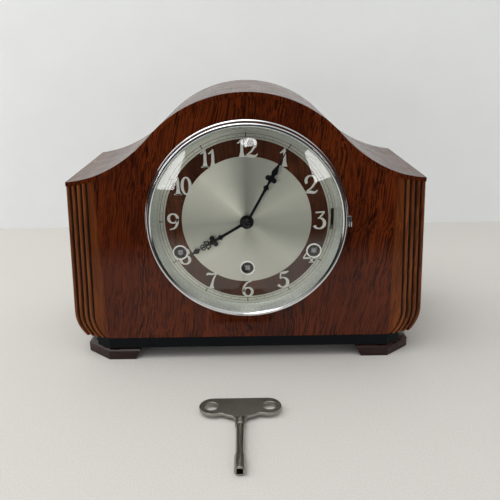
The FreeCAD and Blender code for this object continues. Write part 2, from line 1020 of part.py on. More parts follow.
def barrel(place, teeth, module, wheel_from, drum_from, drum_to, radius):
    """Closed mainspring barrel with its great wheel."""
    wheel = toothed(teeth, module, 0, wheel_from, wheel_from + wheel_thickness, place)
    return fused([wheel, plate(rounded(radius, barrel_sides, place), drum_from, drum_to)])


def depth(level):
    return front_plate_back + level


def motion_level(level):
    return front_plate_face - level


middle_module = module_for(middle_barrel_place, dial_centre, great_teeth, centre_pinion_leaves)
centre_module = module_for(dial_centre, third_place, centre_wheel_teeth, third_pinion_leaves)
third_module = module_for(third_place, escape_place, third_wheel_teeth, escape_pinion_leaves)
side_module = module_for(chime_barrel_place, drum_place, side_great_teeth, drum_pinion_leaves)
cannon_module = module_for(dial_centre, minute_wheel_place, cannon_leaves, minute_wheel_teeth)
hour_module = module_for(dial_centre, minute_wheel_place, minute_pinion_leaves, hour_wheel_teeth)


def going_barrel():
    y_from = depth(great_level)
    y_to = y_from + middle_drum_length
    return barrel(middle_barrel_place, great_teeth, middle_module, y_from, y_from, y_to, middle_drum_radius)


def side_cap():
    """Depth of the front of the two side barrels."""
    return depth(side_great_level) + wheel_thickness - side_drum_length


def side_barrel(place):
    y_from = depth(side_great_level)
    y_to = y_from + wheel_thickness
    return barrel(place, side_great_teeth, side_module, y_from, side_cap(), y_to, side_drum_radius)


def centre_arbor():
    """Centre arbor with its pinion and wheel, up to the back of the cannon pinion."""
    pinion_from = depth(great_level) - pinion_length / 3
    phase = meshed_phase(middle_barrel_place, dial_centre, great_teeth, centre_pinion_leaves, 0)
    pinion = toothed(
        centre_pinion_leaves, middle_module, phase, pinion_from, pinion_from + pinion_length, dial_centre
    )
    wheel_from = depth(centre_level)
    wheel = toothed(
        centre_wheel_teeth, centre_module, 0, wheel_from, wheel_from + wheel_thickness, dial_centre
    )
    shaft = bar(arbor_radius, cannon_back() + end_shake, back_plate_face - end_shake)
    return fused([pinion, wheel, shaft])


def third_wheel():
    phase = meshed_phase(dial_centre, third_place, centre_wheel_teeth, third_pinion_leaves, 0)
    pinion_from = depth(centre_level) - pinion_length / 3
    pinion = toothed(
        third_pinion_leaves, centre_module, phase, pinion_from, pinion_from + pinion_length, third_place
    )
    wheel_from = depth(third_level)
    wheel_to = wheel_from + wheel_thickness
    wheel = toothed(third_wheel_teeth, third_module, 0, wheel_from, wheel_to, third_place)
    shaft = bar(train_arbor_radius, depth(end_shake), back_plate_face - end_shake, third_place)
    return fused([pinion, wheel, shaft])


def escape_wheel():
    phase = meshed_phase(third_place, escape_place, third_wheel_teeth, escape_pinion_leaves, 0)
    pinion_from = depth(third_level) - pinion_length / 3
    pinion = toothed(
        escape_pinion_leaves, third_module, phase, pinion_from, pinion_from + pinion_length, escape_place
    )
    wheel_from = depth(escape_level)
    wheel = saw_toothed(
        escape_teeth, escape_radius, escape_tooth_depth, wheel_from, wheel_from + wheel_thickness,
        escape_place, ratchet_lean
    )
    shaft = bar(train_arbor_radius, depth(end_shake), back_plate_face - end_shake, escape_place)
    return fused([pinion, wheel, shaft])


def pallets():
    """Anchor and crutch on the pallet arbor; the nibs stand just outside the wheel."""
    half = [(pallet_distance * x, pallet_distance * z) for x, z in anchor_outline_shares]
    outline = half + [(-x, z) for x, z in reversed(half)]
    y_middle = depth(escape_level) + wheel_thickness / 2
    anchor = plate(
        [(pallet_place[0] + x, pallet_place[1] + z) for x, z in outline],
        y_middle - anchor_thickness / 2,
        y_middle + anchor_thickness / 2,
    )
    bar_from = works_back + crutch_setback
    bar_to = bar_from + crutch_thickness
    shaft = bar(train_arbor_radius, depth(end_shake), bar_to, pallet_place)
    low = pallet_place[1] - crutch_length
    inner = pendulum_rod_width / 2 + pendulum_gap
    outer = inner + crutch_pin_size
    narrow = crutch_width / 2
    arm = plate(
        [
            (-narrow, pallet_place[1] + narrow),
            (-narrow, low + crutch_width),
            (-outer, low + crutch_width),
            (-outer, low),
            (outer, low),
            (outer, low + crutch_width),
            (narrow, low + crutch_width),
            (narrow, pallet_place[1] + narrow),
        ],
        bar_from,
        bar_to,
    )
    fork = []
    y_to = pendulum_level() + 3 * pendulum_rod_thickness
    for x_from in (-outer, inner):
        fork.append(box(x_from, x_from + crutch_pin_size, bar_from, y_to, low, low + crutch_width))
    return fused([anchor, shaft, arm] + fork)


def pendulum_level():
    return works_back + pendulum_setback


def pendulum_rod():
    """Flat rod, hung just under the cock."""
    y_from = pendulum_level()
    half = pendulum_rod_width / 2
    top = pallet_place[1] + cock_rise - pendulum_gap
    return box(
        -half, half, y_from, y_from + pendulum_rod_thickness, bob_place()[1] + bob_radius, top
    )


def bob_place():
    return (0, pallet_place[1] - pendulum_length + bob_radius)


def pendulum_bob():
    """Disc that hangs from the lower end of the rod, with a hook over it."""
    y_from = pendulum_level() + pendulum_rod_thickness
    outline = rounded(bob_radius, barrel_sides, bob_place())
    disc = plate(outline, y_from - bob_thickness / 2, y_from + bob_thickness / 2)
    half = pendulum_rod_width / 2
    z = bob_place()[1]
    y_to = y_from + pendulum_rod_thickness
    hook_top = z + bob_radius + 2 * crutch_width
    hook = box(-half, half, y_from, y_to, z + bob_radius / 2, hook_top)
    return fused([disc, hook])


# Hands and motion work


def hour_hand_levels():
    y_to = front + hour_hand_setback
    return y_to - hand_thickness, y_to


def minute_hand_levels():
    y_to = hour_hand_levels()[0] - minute_hand_gap
    return y_to - hand_thickness, y_to


def cannon_back():
    return motion_level(minute_wheel_level) + wheel_thickness


def cannon_pinion():
    """Pinion and pipe that carry the minute hand, turning with the centre arbor behind it."""
    y_to = cannon_back()
    y_middle = y_to - 2 * wheel_thickness
    pinion = toothed(cannon_leaves, cannon_module, 0, y_middle, y_to, dial_centre)
    return fused([pinion, spindle(cannon_outer, minute_hand_levels()[1], y_middle)])


def minute_wheel():
    y_from = motion_level(minute_wheel_level)
    y_to = y_from + wheel_thickness
    wheel_phase = meshed_phase(dial_centre, minute_wheel_place, cannon_leaves, minute_wheel_teeth, 0)
    wheel = toothed(minute_wheel_teeth, cannon_module, wheel_phase, y_from, y_to, minute_wheel_place)
    pinion_from = motion_level(hour_wheel_level) - wheel_thickness / 2
    pinion = toothed(minute_pinion_leaves, hour_module, 0, pinion_from, y_from, minute_wheel_place)
    post = spindle(motion_stud_radius, y_to, front_plate_face - end_shake, minute_wheel_place)
    return fused([wheel, pinion, post])


def hour_wheel():
    y_from = motion_level(hour_wheel_level)
    phase = meshed_phase(minute_wheel_place, dial_centre, minute_pinion_leaves, hour_wheel_teeth, 0)
    wheel = toothed(hour_wheel_teeth, hour_module, phase, y_from, y_from + wheel_thickness, dial_centre)
    pipe = spindle(hour_tube_outer, hour_hand_levels()[1], y_from)
    bore = spindle(cannon_outer + running_fit, hour_hand_levels()[0] - overrun, y_from + overrun)
    return fused([wheel, pipe]).cut(bore)


# Ornament of the hands: height along the hand and half width, as shares of its length
hour_outline_shares = [
    (0.085, 0.016), (0.400, 0.016), (0.445, 0.036), (0.490, 0.014), (0.530, 0.020), (0.561, 0.062),
    (0.592, 0.020), (0.606, 0.050), (0.658, 0.060), (0.705, 0.030), (0.722, 0.044), (0.764, 0.044),
    (0.786, 0.012), (0.800, 0.012), (0.858, 0.044), (0.930, 0.010), (1.000, 0.003),
]
hour_opening_shares = [(0.658, 0.032, 0.030), (0.743, 0.022, 0.020)]
minute_outline_shares = [
    (0.050, 0.014), (0.420, 0.014), (0.466, 0.034), (0.512, 0.011), (0.560, 0.014), (0.585, 0.052),
    (0.603, 0.052), (0.620, 0.012), (0.675, 0.032), (0.760, 0.011), (1.000, 0.003),
]


def blade(outline_shares, length, y_from, y_to):
    """Flat hand along +Z, drawn from shares of its length."""
    right = [(length * half, dial_height + length * up) for up, half in outline_shares]
    left = [(-x, z) for x, z in reversed(right)]
    return plate(right + left, y_from, y_to)


def turned_to(angle, hand):
    """The hand turned clockwise about the dial's centre."""
    hand.rotate(vector(0, 0, dial_height), vector(0, 1, 0), angle)
    return hand


def hour_hand():
    """Pierced hand, seated on the front end of the hour wheel's pipe."""
    y_from, y_to = hour_hand_levels()
    hub = spindle(hour_hub_radius, y_from, y_to)
    hand = fused([hub, blade(hour_outline_shares, hour_length, y_from, y_to)])
    hand = hand.cut(spindle(cannon_outer + running_fit, y_from - overrun, y_to + overrun))
    for up, tall, wide in hour_opening_shares:
        z = dial_height + up * hour_length
        lozenge = [
            (0, z - tall * hour_length),
            (wide * hour_length, z),
            (0, z + tall * hour_length),
            (-wide * hour_length, z),
        ]
        hand = hand.cut(plate(lozenge, y_from - overrun, y_to + overrun))
    return turned_to(hour_angle, hand)


def minute_hand():
    """Hand seated on the front end of the cannon pinion's pipe."""
    y_from, y_to = minute_hand_levels()
    hub = spindle(minute_hub_radius, y_from, y_to)
    return turned_to(minute_angle, fused([hub, blade(minute_outline_shares, minute_length, y_from, y_to)]))


def hand_nut():
    """Domed nut in front of the minute hand."""
    y_to = minute_hand_levels()[0]
    y_from = y_to - nut_height
    return turned([(0, y_from), (nut_radius / 2, y_from), (nut_radius, y_to), (0, y_to)])


# Strike and chime work


def side_pinion(place, barrel_place):
    y_from = depth(side_great_level) - pinion_length / 3
    phase = meshed_phase(barrel_place, place, side_great_teeth, drum_pinion_leaves, 0)
    return toothed(drum_pinion_leaves, side_module, phase, y_from, y_from + pinion_length, place)


def hammer_middle(index):
    return works_back + hammer_setback + index * hammer_pitch


def chime_drum():
    """Pin barrel behind the back plate, on the arbor that the chime barrel drives."""
    y_from = works_back + drum_setback
    drum = plate(rounded(drum_radius, barrel_sides, drum_place), y_from, y_from + drum_length)
    shaft = bar(arbor_radius, depth(end_shake), support_face() - end_shake, drum_place)
    half = drum_pin_size / 2
    axis_point = vector(drum_place[0], 0, drum_place[1])
    pins = []
    for index in range(hammer_count):
        middle = hammer_middle(index)
        for step in range(pins_per_row):
            pin = box(
                drum_place[0] + drum_radius - half,
                drum_place[0] + drum_radius + drum_pin_height,
                middle - half,
                middle + half,
                drum_place[1] - half,
                drum_place[1] + half,
            )
            turn = (step + (index + 1 / 2) / hammer_count) / pins_per_row
            pin.rotate(axis_point, vector(0, 1, 0), math.degrees(2 * math.pi * turn))
            pins.append(pin)
    return fused([drum, shaft, side_pinion(drum_place, chime_barrel_place)] + pins)


def strike_second_arbor():
    """Arbor that the strike barrel drives."""
    shaft = bar(arbor_radius, depth(end_shake), back_plate_face - end_shake, second_place)
    return fused([shaft, side_pinion(second_place, strike_barrel_place)])


def support_face():
    return works_back + drum_setback + drum_length + 2 * end_shake


def chime_support():
    """Rear bracket on two posts, with the arbor that the hammers turn on."""
    y_from = support_face()
    y_to = y_from + bracket_plate_thickness
    margin = bracket_plate_margin
    right = hammer_arbor[0] + 2 * margin
    low = hammer_arbor[1] - margin
    top = drum_place[1] + 2 * margin
    left = drum_place[0] - margin
    slope_from = (hammer_arbor[0] - margin, low)
    slope_to = (left, drum_place[1] - margin)
    board = plate(
        [(left, top), (right, top), (right, low), slope_from, slope_to],
        y_from,
        y_to,
    )
    half = bracket_post_size / 2
    posts = [
        box(x - half, x + half, works_back, y_from, z - half, z + half)
        for x, z in ((left + half, top - half), (right - half, low + half))
    ]
    shaft = spindle(hammer_arbor_radius, works_back, y_from, hammer_arbor)
    return fused([board, shaft] + posts)


def hammer(index):
    """Chime hammer: hub, arm with its head above a rod, and tail beside the drum."""
    y_from = hammer_middle(index) - hammer_thickness / 2
    y_to = y_from + hammer_thickness
    x, z = hammer_arbor
    head_x, head_z = from_dial(hammer_head_place, -hammer_head_drop)
    tail_x, tail_z = from_dial(hammer_tail_place, -hammer_tail_drop)
    half = hammer_arm_width / 2
    hub = hammer_hub_size / 2
    body = plate(
        [
            (x - hub, z + half),
            (head_x, head_z + half),
            (head_x, head_z - half),
            (x - half, z - hub),
            (x + hub, z - hub),
            (x + hub, z + hub),
            (tail_x + half, tail_z),
            (tail_x, tail_z),
            (x, z + hub),
        ],
        y_from,
        y_to,
    )
    size = hammer_head_size / 2
    low = head_z - hammer_head_length / 2
    mass = box(
        head_x - size, head_x + size, hammer_middle(index) - size, hammer_middle(index) + size,
        low, low + hammer_head_length
    )
    bore = spindle(hammer_arbor_radius + running_fit, y_from - overrun, y_to + overrun, hammer_arbor)
    return fused([body, mass]).cut(bore)


def rod_height():
    head_bottom = dial_height - hammer_head_drop - hammer_head_length / 2
    return head_bottom - hammer_gap - chime_rod_radius


def chime_rods():
    rods = []
    for index in range(hammer_count):
        middle = hammer_middle(index)
        length = longest_rod - index * rod_step
        section = rounded(chime_rod_radius, shaft_sides, (middle, rod_height()))
        drawn = face_of([vector(rod_block_place - length, y, z) for y, z in section])
        rods.append(drawn.extrude(vector(length, 0, 0)))
    return Part.makeCompound(rods)


def rod_block():
    """Iron block on the floor board that holds the rods' ends."""
    first = hammer_middle(0)
    last = hammer_middle(hammer_count - 1)
    return box(
        rod_block_place,
        rod_block_place + rod_block_width,
        first - rod_block_margin,
        last + rod_block_margin,
        floor_top,
        rod_height() + rod_block_rise,
    )


# Key


def winding_key():
    """Wing key: pierced wings, a round shaft with two collars and a square socket."""
    socket_y = front - key_socket_distance
    axis_z = key_collar_radius
    wing_back = socket_y + key_length
    wing_front = wing_back - key_wing_depth
    half = key_width / 2
    neck_half = key_collar_radius
    z_from = axis_z - key_wing_thickness / 2
    z_to = axis_z + key_wing_thickness / 2
    rise = key_hole_radius * 2
    wings = []
    for side in (-1, 1):
        centre = key_place + side * key_hole_place
        lobe = upright(rise, centre, wing_back - rise, z_from, z_to)
        web = standing(
            [
                (key_place - side * neck_half, wing_front),
                (key_place + side * neck_half, wing_front),
                (centre + side * rise / 2, wing_back - rise * 2 + rise / 8),
                (centre, wing_back),
                (key_place - side * neck_half, wing_back - rise / 2),
            ],
            z_from,
            z_to,
        )
        wings += [lobe, web]
    wings = fused(wings)
    for side in (-1, 1):
        centre = key_place + side * key_hole_place
        hole = upright(key_hole_radius, centre, wing_back - rise, z_from - overrun, z_to + overrun)
        wings = wings.cut(hole)
    limit = box(key_place - half, key_place + half, socket_y, wing_back, 0, 2 * key_collar_radius)
    shaft = along_y(key_shaft_radius, socket_y, wing_front + key_neck_length, axis_z)
    socket = along_y(key_collar_radius, socket_y, socket_y + key_collar_length, axis_z)
    neck = along_y(key_collar_radius, wing_front - key_neck_length, wing_front + key_neck_length, axis_z)
    half_square = key_square / 2
    hole = box(
        key_place - half_square, key_place + half_square, socket_y - overrun, socket_y + key_square_depth,
        axis_z - half_square, axis_z + half_square
    )
    return fused([wings.common(limit), shaft, socket, neck]).cut(hole)


def along_y(radius, y_from, y_to, z):
    return spindle(radius, y_from, y_to, (key_place, z))


def build():
    os.makedirs("parts", exist_ok=True)
    save("front_panel", front_panel())
    save("top_sheet", top_sheet())
    moulding = reeded_moulding()
    save("reeded_moulding_right", moulding)
    save("reeded_moulding_left", mirrored(moulding))
    side = side_panel()
    save("side_panel_right", side)
    save("side_panel_left", mirrored(side))
    save("back_panel", back_panel())
    save("door_stops", door_stops())
    save("floor_board", floor_board())
    save("plinth", plinth())
    right_foot = foot()
    front_pair = [right_foot, mirrored(right_foot)]
    save("front_feet", Part.makeCompound(front_pair))
    save("back_feet", Part.makeCompound([turned_back(one) for one in front_pair]))
    save("back_door", back_door())
    save("door_hinge_leaves", door_hinge_leaves())
    save("case_hinge_leaves", case_hinge_leaves())
    save("turn_button", turn_button())
    save("dial_plate", dial_plate())
    save("wood_ring", wood_ring())
    save("chime_silent_lever", chime_silent_lever())
    save("bezel_ring", bezel_ring())
    save("bezel_hinge", bezel_hinge())
    save("dial_glass", dial_glass())
    save("hour_hand", hour_hand())
    save("minute_hand", minute_hand())
    save("hand_nut", hand_nut())
    save("cannon_pinion", cannon_pinion())
    save("minute_wheel", minute_wheel())
    save("hour_wheel", hour_wheel())
    save("front_plate", front_plate())
    save("back_plate", back_plate())
    save("pillars", pillars())
    save("movement_brackets", movement_brackets())
    trains = [
        ("going", middle_barrel_place, depth(great_level)),
        ("strike", strike_barrel_place, side_cap()),
        ("chime", chime_barrel_place, side_cap()),
    ]
    for name, place, cap in trains:
        save(name + "_winding_arbor", winding_arbor(place, cap))
        save(name + "_click", click(place))
    save("going_barrel", going_barrel())
    save("strike_barrel", side_barrel(strike_barrel_place))
    save("chime_barrel", side_barrel(chime_barrel_place))
    save("centre_arbor", centre_arbor())
    save("third_wheel", third_wheel())
    save("escape_wheel", escape_wheel())
    save("pallets", pallets())
    save("pendulum_rod", pendulum_rod())
    save("pendulum_bob", pendulum_bob())
    save("chime_drum", chime_drum())
    save("strike_second_arbor", strike_second_arbor())
    save("chime_support", chime_support())
    for index in range(hammer_count):
        save("hammer_" + str(index + 1), hammer(index))
    save("chime_rods", chime_rods())
    save("rod_block", rod_block())
    save("winding_key", winding_key())


build()
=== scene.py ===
import json
from math import acos, asin, atan, atan2, ceil, cos, degrees, hypot, pi, radians, sin, sqrt

import bpy
from mathutils import Matrix, Quaternion, Vector

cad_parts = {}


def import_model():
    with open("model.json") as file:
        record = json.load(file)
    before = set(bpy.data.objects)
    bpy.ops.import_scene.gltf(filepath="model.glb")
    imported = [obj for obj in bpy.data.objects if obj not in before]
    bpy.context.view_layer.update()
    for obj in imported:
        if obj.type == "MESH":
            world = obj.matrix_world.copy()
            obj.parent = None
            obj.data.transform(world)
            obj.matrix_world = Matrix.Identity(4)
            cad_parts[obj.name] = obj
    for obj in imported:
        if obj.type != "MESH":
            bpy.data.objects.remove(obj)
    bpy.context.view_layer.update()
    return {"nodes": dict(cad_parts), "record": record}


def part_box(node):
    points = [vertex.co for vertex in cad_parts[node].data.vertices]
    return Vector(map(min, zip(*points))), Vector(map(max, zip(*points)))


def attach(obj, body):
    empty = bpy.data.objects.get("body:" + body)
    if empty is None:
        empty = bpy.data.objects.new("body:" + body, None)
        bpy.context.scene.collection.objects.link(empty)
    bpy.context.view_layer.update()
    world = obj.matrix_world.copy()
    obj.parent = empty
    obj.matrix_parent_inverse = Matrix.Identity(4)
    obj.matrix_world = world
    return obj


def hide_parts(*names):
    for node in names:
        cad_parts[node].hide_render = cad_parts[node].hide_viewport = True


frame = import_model()

# Units
mm = 0.001
full_turn = 2 * pi

# Sizes of the case that the frame does not give, as the part has them
arch_radius = 91.2 * mm
hollow_radius = 100.0 * mm
roof_thickness = 3.0 * mm
panel_half_width = 107.7 * mm
panel_thickness = 12.0 * mm
shoulder_half_width = 129.3 * mm
shoulder_height = 140.2 * mm
flare = 4.3 * mm
foot_curve_radius = 28.0 * mm
foot_curve_rise = 20.0 * mm
foot_curve_rows = 18
straight_rows = 6
reed_count = 4
reed_pitch = 4.2 * mm
reed_rise = 1.9 * mm
reed_step = 1.6 * mm
reed_segments = 12
reed_fullness = 0.8
groove_share = 0.36
groove_dip_share = 0.35
cheek_recess = 1.2 * mm

# How much an arc of a numeral swells at its sides, and the least radius of a turned form
arc_swelling = 1.5
least_radius = 0.001 * mm

# Rounding of the edges of solids that stay, in millimetres
edge_rounding = {
    "front_feet": 0.5, "back_feet": 0.5, "plinth": 0.35, "back_panel": 0.4, "back_door": 0.5,
    "turn_button": 0.4, "side_panel_left": 0.3, "side_panel_right": 0.3, "rod_block": 0.6,
}
weld_gap = 0.002 * mm
bevel_angle = 35
facing_front = -0.9
sharp_angle = 32

# Dial
disc_radius = 47.0 * mm
disc_segments = 160
arbor_hole_radius = 4.3 * mm
hole_segments = 48
numeral_circle = 53.0 * mm
numeral_height = 12.9 * mm
numeral_rise = 0.12 * mm
stroke_weight = 1.32
longest_run = 0.3 * mm
track_inner = 60.7 * mm
track_outer = 62.9 * mm
track_line = 0.30 * mm
track_segments = 180
minute_dot_steps = 8
minute_dot_radius = 0.30 * mm
hour_mark_start = 60.5 * mm
hour_mark_end = 63.6 * mm
hour_mark_width = 0.7 * mm
print_thickness = 0.04 * mm
winding_circle = 54.6 * mm
winding_angle = 115.6
middle_winding_drop = 36.5 * mm
grommet_outer = 5.7 * mm
grommet_inner = 4.6 * mm
grommet_cover = 5.5 * mm
grommet_rise = 0.9 * mm
grommet_fullness = 0.7
grommet_segments = 8
grommet_round_segments = 56
grommet_sink = 0.3 * mm
slot_place = 62.0 * mm
slot_half_width = 1.5 * mm
slot_top = 8.8 * mm
slot_bottom = 7.5 * mm

# Bezel; the steps are pairs of how far out and how far behind or in front, in millimetres
bezel_radius = 73.0 * mm
bezel_height = 8.0 * mm
bezel_gap = 1.1 * mm
bezel_segments = 192
flange_steps = ((0.0, 0.0), (0.0, 0.5), (-0.35, 0.9))
crest_start = 1.0 * mm
crest_radius = 70.4 * mm
crest_round = 2.0 * mm
crest_segments = 12
lip_radius = 68.9 * mm
lip_steps = ((0.5, 0.15), (0.0, 0.6), (-0.7, 1.1))
reflector_radius = 65.2 * mm
reflector_steps = ((0.25, 1.2), (0.0, 0.6), (0.8, 0.6))
lip_wall = 0.4 * mm
lug_depth = 1.9 * mm
lug_half_thickness = 0.7 * mm
lug_overlap = 1.0 * mm
lug_bottom = 0.3 * mm
lug_top = 4.0 * mm
lug_edge = 0.25 * mm
glass_steps = 20
glass_thickness = 1.5 * mm

# Hands; each boss is a radius and its number of steps, and the nut's flange is shares of its size
hour_angle = 239.5
hour_hand_length = 49.7 * mm
hour_boss = (5.0 * mm, 32)
minute_angle = 28.8
minute_hand_length = 61.4 * mm
minute_boss = (3.7 * mm, 28)
nut_segments = 8
nut_round_segments = 48
nut_flange = ((0.6, 0), (1, 0), (1, 0.2), (0.93, 0.3))
nut_dome_radius = 0.9
nut_dome_start = 0.3

# Key; the shaft's points are pairs of radius and place, in millimetres from its socket end and its neck
key_wing_radius = 9.2 * mm
key_wing_turn = 190
key_wing_segments = 14
key_hole_place = 19.4 * mm
key_hole_radius = 4.6 * mm
key_hole_segments = 40
key_half_thickness = 1.0 * mm
key_edge = 0.35 * mm
key_neck_half = 3.4 * mm
key_neck_flare = 1.7 * mm
key_neck_start = 21.0 * mm
key_neck_end = 24.0 * mm
key_web_start = 6.0 * mm
key_web_rise = 0.9 * mm
key_web_middle = 0.33
key_web_dip = 1.0 * mm
shaft_radius = 3.4 * mm
shaft_foot = ((3.1, 0.0), (3.4, 0.3), (3.4, 13.0), (2.7, 15.0))
shaft_neck = (
    (2.7, -8.0), (2.7, -6.6), (3.4, -6.0), (3.4, -4.4), (2.7, -3.8), (3.2, -1.0), (3.2, 0.2), (0.01, 0.6),
)
shaft_segments = 48
socket_half = 1.9 * mm
socket_depth = 12.0 * mm

# Screws: radius and rise of each kind of head, and where they sit
leaf_screw = (1.6 * mm, 0.5 * mm)
button_screw = (1.9 * mm, 0.8 * mm)
plate_screw = (2.6 * mm, 1.1 * mm)
bracket_screw = (2.2 * mm, 1.0 * mm)
screw_segments = 20
first_screw_turn = 0.4
next_screw_turn = 1.3
screw_profile = ((1, 0), (1, 0.35), (0.8, 0.85), (0.45, 1.0))
screw_slot_half = 0.16
screw_slot_reach = 0.78
screw_slot_lift = 1.02
leaf_thickness = 0.8 * mm
leaf_screw_heights = (63 * mm, 73 * mm, 117 * mm, 127 * mm)
door_leaf_place = -55.6 * mm
case_leaf_place = -67.6 * mm
sheet_metal = 1.5 * mm
low_plate_screw_place = 66 * mm
high_plate_screw_place = 34 * mm
pillar_inset = 2.6 * mm
bracket_screw_place = 79 * mm
bracket_screw_rises = (-34 * mm, 8 * mm)

# Leather pads of the chime hammers
hammer_count = 4
pad_half = 2.4 * mm
pad_inset = 0.35 * mm
pad_thickness = 0.6 * mm
pad_edge = 0.15 * mm

# Grain and relief in the materials
grain_stretch = 0.075
pore_stretch = 0.034
upright_waver = (0.018, 0.018, 0.0)
level_waver = (0.0, 0.012, 0.012)
pore_depth = 0.15 * mm
scratch_depth = 0.05 * mm
haze_depth = 0.02 * mm
weave_depth = 0.3 * mm
brush_rings = 5200

# Painted sheen of the brushed disc: brightness painted into its colour by turns from six o'clock by nine and
# twelve, standing in for the light and dark wedges that lamps give
painted_disc_sheen = (
    (0.0, 0.98), (0.16, 0.92), (0.235, 0.66), (0.30, 1.0), (0.375, 1.40), (0.44, 1.0), (0.50, 0.50),
    (0.55, 0.57), (0.61, 0.82), (0.67, 1.0), (0.73, 0.74), (0.80, 0.68), (0.87, 0.88), (1.0, 0.98),
)

# Table and wall; reflections of the table darken between two distances in front of the clock
wall_distance = 357 * mm
stage_reach = 2600 * mm
dark_table_start = 170 * mm
dark_table_end = 300 * mm

# Lamps that show in the glass: place there beside and above the middle, azimuth and elevation seen
# from it, width and height, power, and lean
lamp_distance = 1700 * mm
glass_lamps = {
    "window_left": ((-55 * mm, 36 * mm), (-26.0, 1.8), (260 * mm, 500 * mm), 2.4, -18),
    "window_right": ((50 * mm, 42 * mm), (23.6, 3.0), (180 * mm, 340 * mm), 1.1, 18),
    "lamp_front": ((2 * mm, 59 * mm), (1.0, 11.0), (170 * mm, 90 * mm), 0.22, 0),
}
# Wide soft lamps: place from the dial's middle, width and height, and power
soft_lamps = {
    "soft_above": ((-350 * mm, -350 * mm, 1250 * mm), (1300 * mm, 1000 * mm), 8.5),
    "soft_side": ((-1300 * mm, 100 * mm, 900 * mm), (900 * mm, 900 * mm), 4.0),
}

# Camera, from the photograph: distance in front of the panel, height and turns in degrees
camera_distance = 417.9 * mm
camera_height = 234.7 * mm
camera_side = -0.1 * mm
camera_yaw = 0.30
camera_pitch = 19.22
camera_roll = -0.73
camera_clip = 10 * mm
focal_pixels = 603.07
frame_pixels = 500
sensor_width = 36.0

# Places from the frame
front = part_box("front_panel")[0].y
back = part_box("back_panel")[1].y
plinth_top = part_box("front_panel")[0].z
dial_low, dial_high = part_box("dial_plate")
dial_face = dial_low.y
dial_height = (dial_low.z + dial_high.z) / 2
veneer_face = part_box("wood_ring")[0].y
dial_centre = Vector((0, veneer_face, dial_height))


# Shader graph helpers


def new_material(name):
    material = bpy.data.materials.new(name)
    material.use_nodes = True
    tree = material.node_tree
    return material, tree, tree.nodes["Principled BSDF"]


def tune(node, **values):
    """Set a node's properties, and its unlinked inputs by their labels."""
    for key, value in values.items():
        if hasattr(node, key):
            setattr(node, key, value)
        else:
            node.inputs[key.replace("_", " ")].default_value = value
    return node


def add(tree, kind, **values):
    return tune(tree.nodes.new("ShaderNode" + kind), **values)


def live(sockets, label=None):
    """The first socket in use, or the first one with a label."""
    return next(s for s in sockets if s.enabled and label in (None, s.name))


def put(source, target, socket=0, output=None):
    """Link a node's first output, or the one named, to another node's input."""
    start = source.outputs[output] if output else live(source.outputs)
    target.id_data.links.new(start, target.inputs[socket])


def ramp(source, stops):
    """Colour ramp over a factor, from pairs of position and colour or grey."""
    node = add(source.id_data, "ValToRGB")
    elements = node.color_ramp.elements
    while len(elements) < len(stops):
        elements.new(0.5)
    for element, (position, colour) in zip(elements, stops):
        element.position = position
        element.color = (*(colour if isinstance(colour, tuple) else (colour,) * 3), 1)
    put(source, node)
    return node


def mapped(tree, scale=(1, 1, 1)):
    """Object coordinates, scaled along each axis."""
    mapping = add(tree, "Mapping", Scale=scale)
    put(add(tree, "TexCoord"), mapping, 0, "Object")
    return mapping


def split(source, output=None):
    parts = add(source.id_data, "SeparateXYZ")
    put(source, parts, 0, output)
    return parts


def leaning(tree, scale, lean):
    """Object coordinates scaled along each axis, first sheared so that upright grain leans."""
    parts = split(add(tree, "TexCoord"), "Object")
    shear = add(tree, "Math", operation="MULTIPLY_ADD")
    put(parts, shear, 0, "Z")
    shear.inputs[1].default_value = -lean
    put(parts, shear, 2, "X")
    joined = add(tree, "CombineXYZ")
    put(shear, joined, "X")
    put(parts, joined, "Y", "Y")
    put(parts, joined, "Z", "Z")
    mapping = add(tree, "Mapping", Scale=scale)
    put(joined, mapping)
    return mapping


def swaying(tree, sway, share, along, lean):
    """Coordinates drawn out along the grain, with a slow waver across it."""
    scale = tuple(share if axis == along else 1 for axis in "XYZ")
    node = add(tree, "VectorMath", operation="MULTIPLY_ADD")
    put(sway, node, 0, "Color")
    node.inputs[1].default_value = upright_waver if along == "Z" else level_waver
    put(leaning(tree, scale, lean), node, 2)
    return node


def noise(tree, scale, detail=4.0, roughness=0.55, distortion=0.0, place=None):
    """Noise over the object's own coordinates, or over those given."""
    node = add(tree, "TexNoise", Scale=scale, Detail=detail, Roughness=roughness, Distortion=distortion)
    put(mapped(tree) if place is None else place, node, "Vector")
    return node


def vector(operation, source, other=None, output=None):
    node = add(source.id_data, "VectorMath", operation=operation)
    put(source, node, 0, output)
    if other:
        node.inputs[1].default_value = other
    return node


def mix(tree, factor, one, other, blend="MIX"):
    """Mixed colour; each side is a node or a colour, the factor a node, an output or a number."""
    mixer = add(tree, "Mix", data_type="RGBA", blend_type=blend)
    for value, label in ((factor, "Factor"), (one, "A"), (other, "B")):
        socket = live(mixer.inputs, label)
        if hasattr(value, "outputs"):
            value = live(value.outputs)
        if isinstance(value, bpy.types.NodeSocket):
            tree.links.new(value, socket)
        else:
            socket.default_value = (*value, 1) if isinstance(value, tuple) else value
    return mixer


def coloured(shader, pattern, *stops):
    put(ramp(pattern, stops), shader, "Base Color")


def roughened(shader, pattern, rough, least, most):
    """Roughness that a pattern carries from one share of its value to another."""
    put(ramp(pattern, ((0.3, rough * least), (0.7, rough * most))), shader, "Roughness")


def bumped(shader, height, strength, distance):
    bump = add(shader.id_data, "Bump", Strength=strength, Distance=distance)
    put(height, bump, "Height")
    put(bump, shader, "Normal")


def either(share, one, other, output=None):
    """Surface that a share divides between two shaders."""
    tree = one.id_data
    mixer = add(tree, "MixShader")
    put(share, mixer, 0, output)
    put(one, mixer, 1)
    put(other, mixer, 2)
    put(mixer, tree.nodes["Material Output"], "Surface")


# Materials


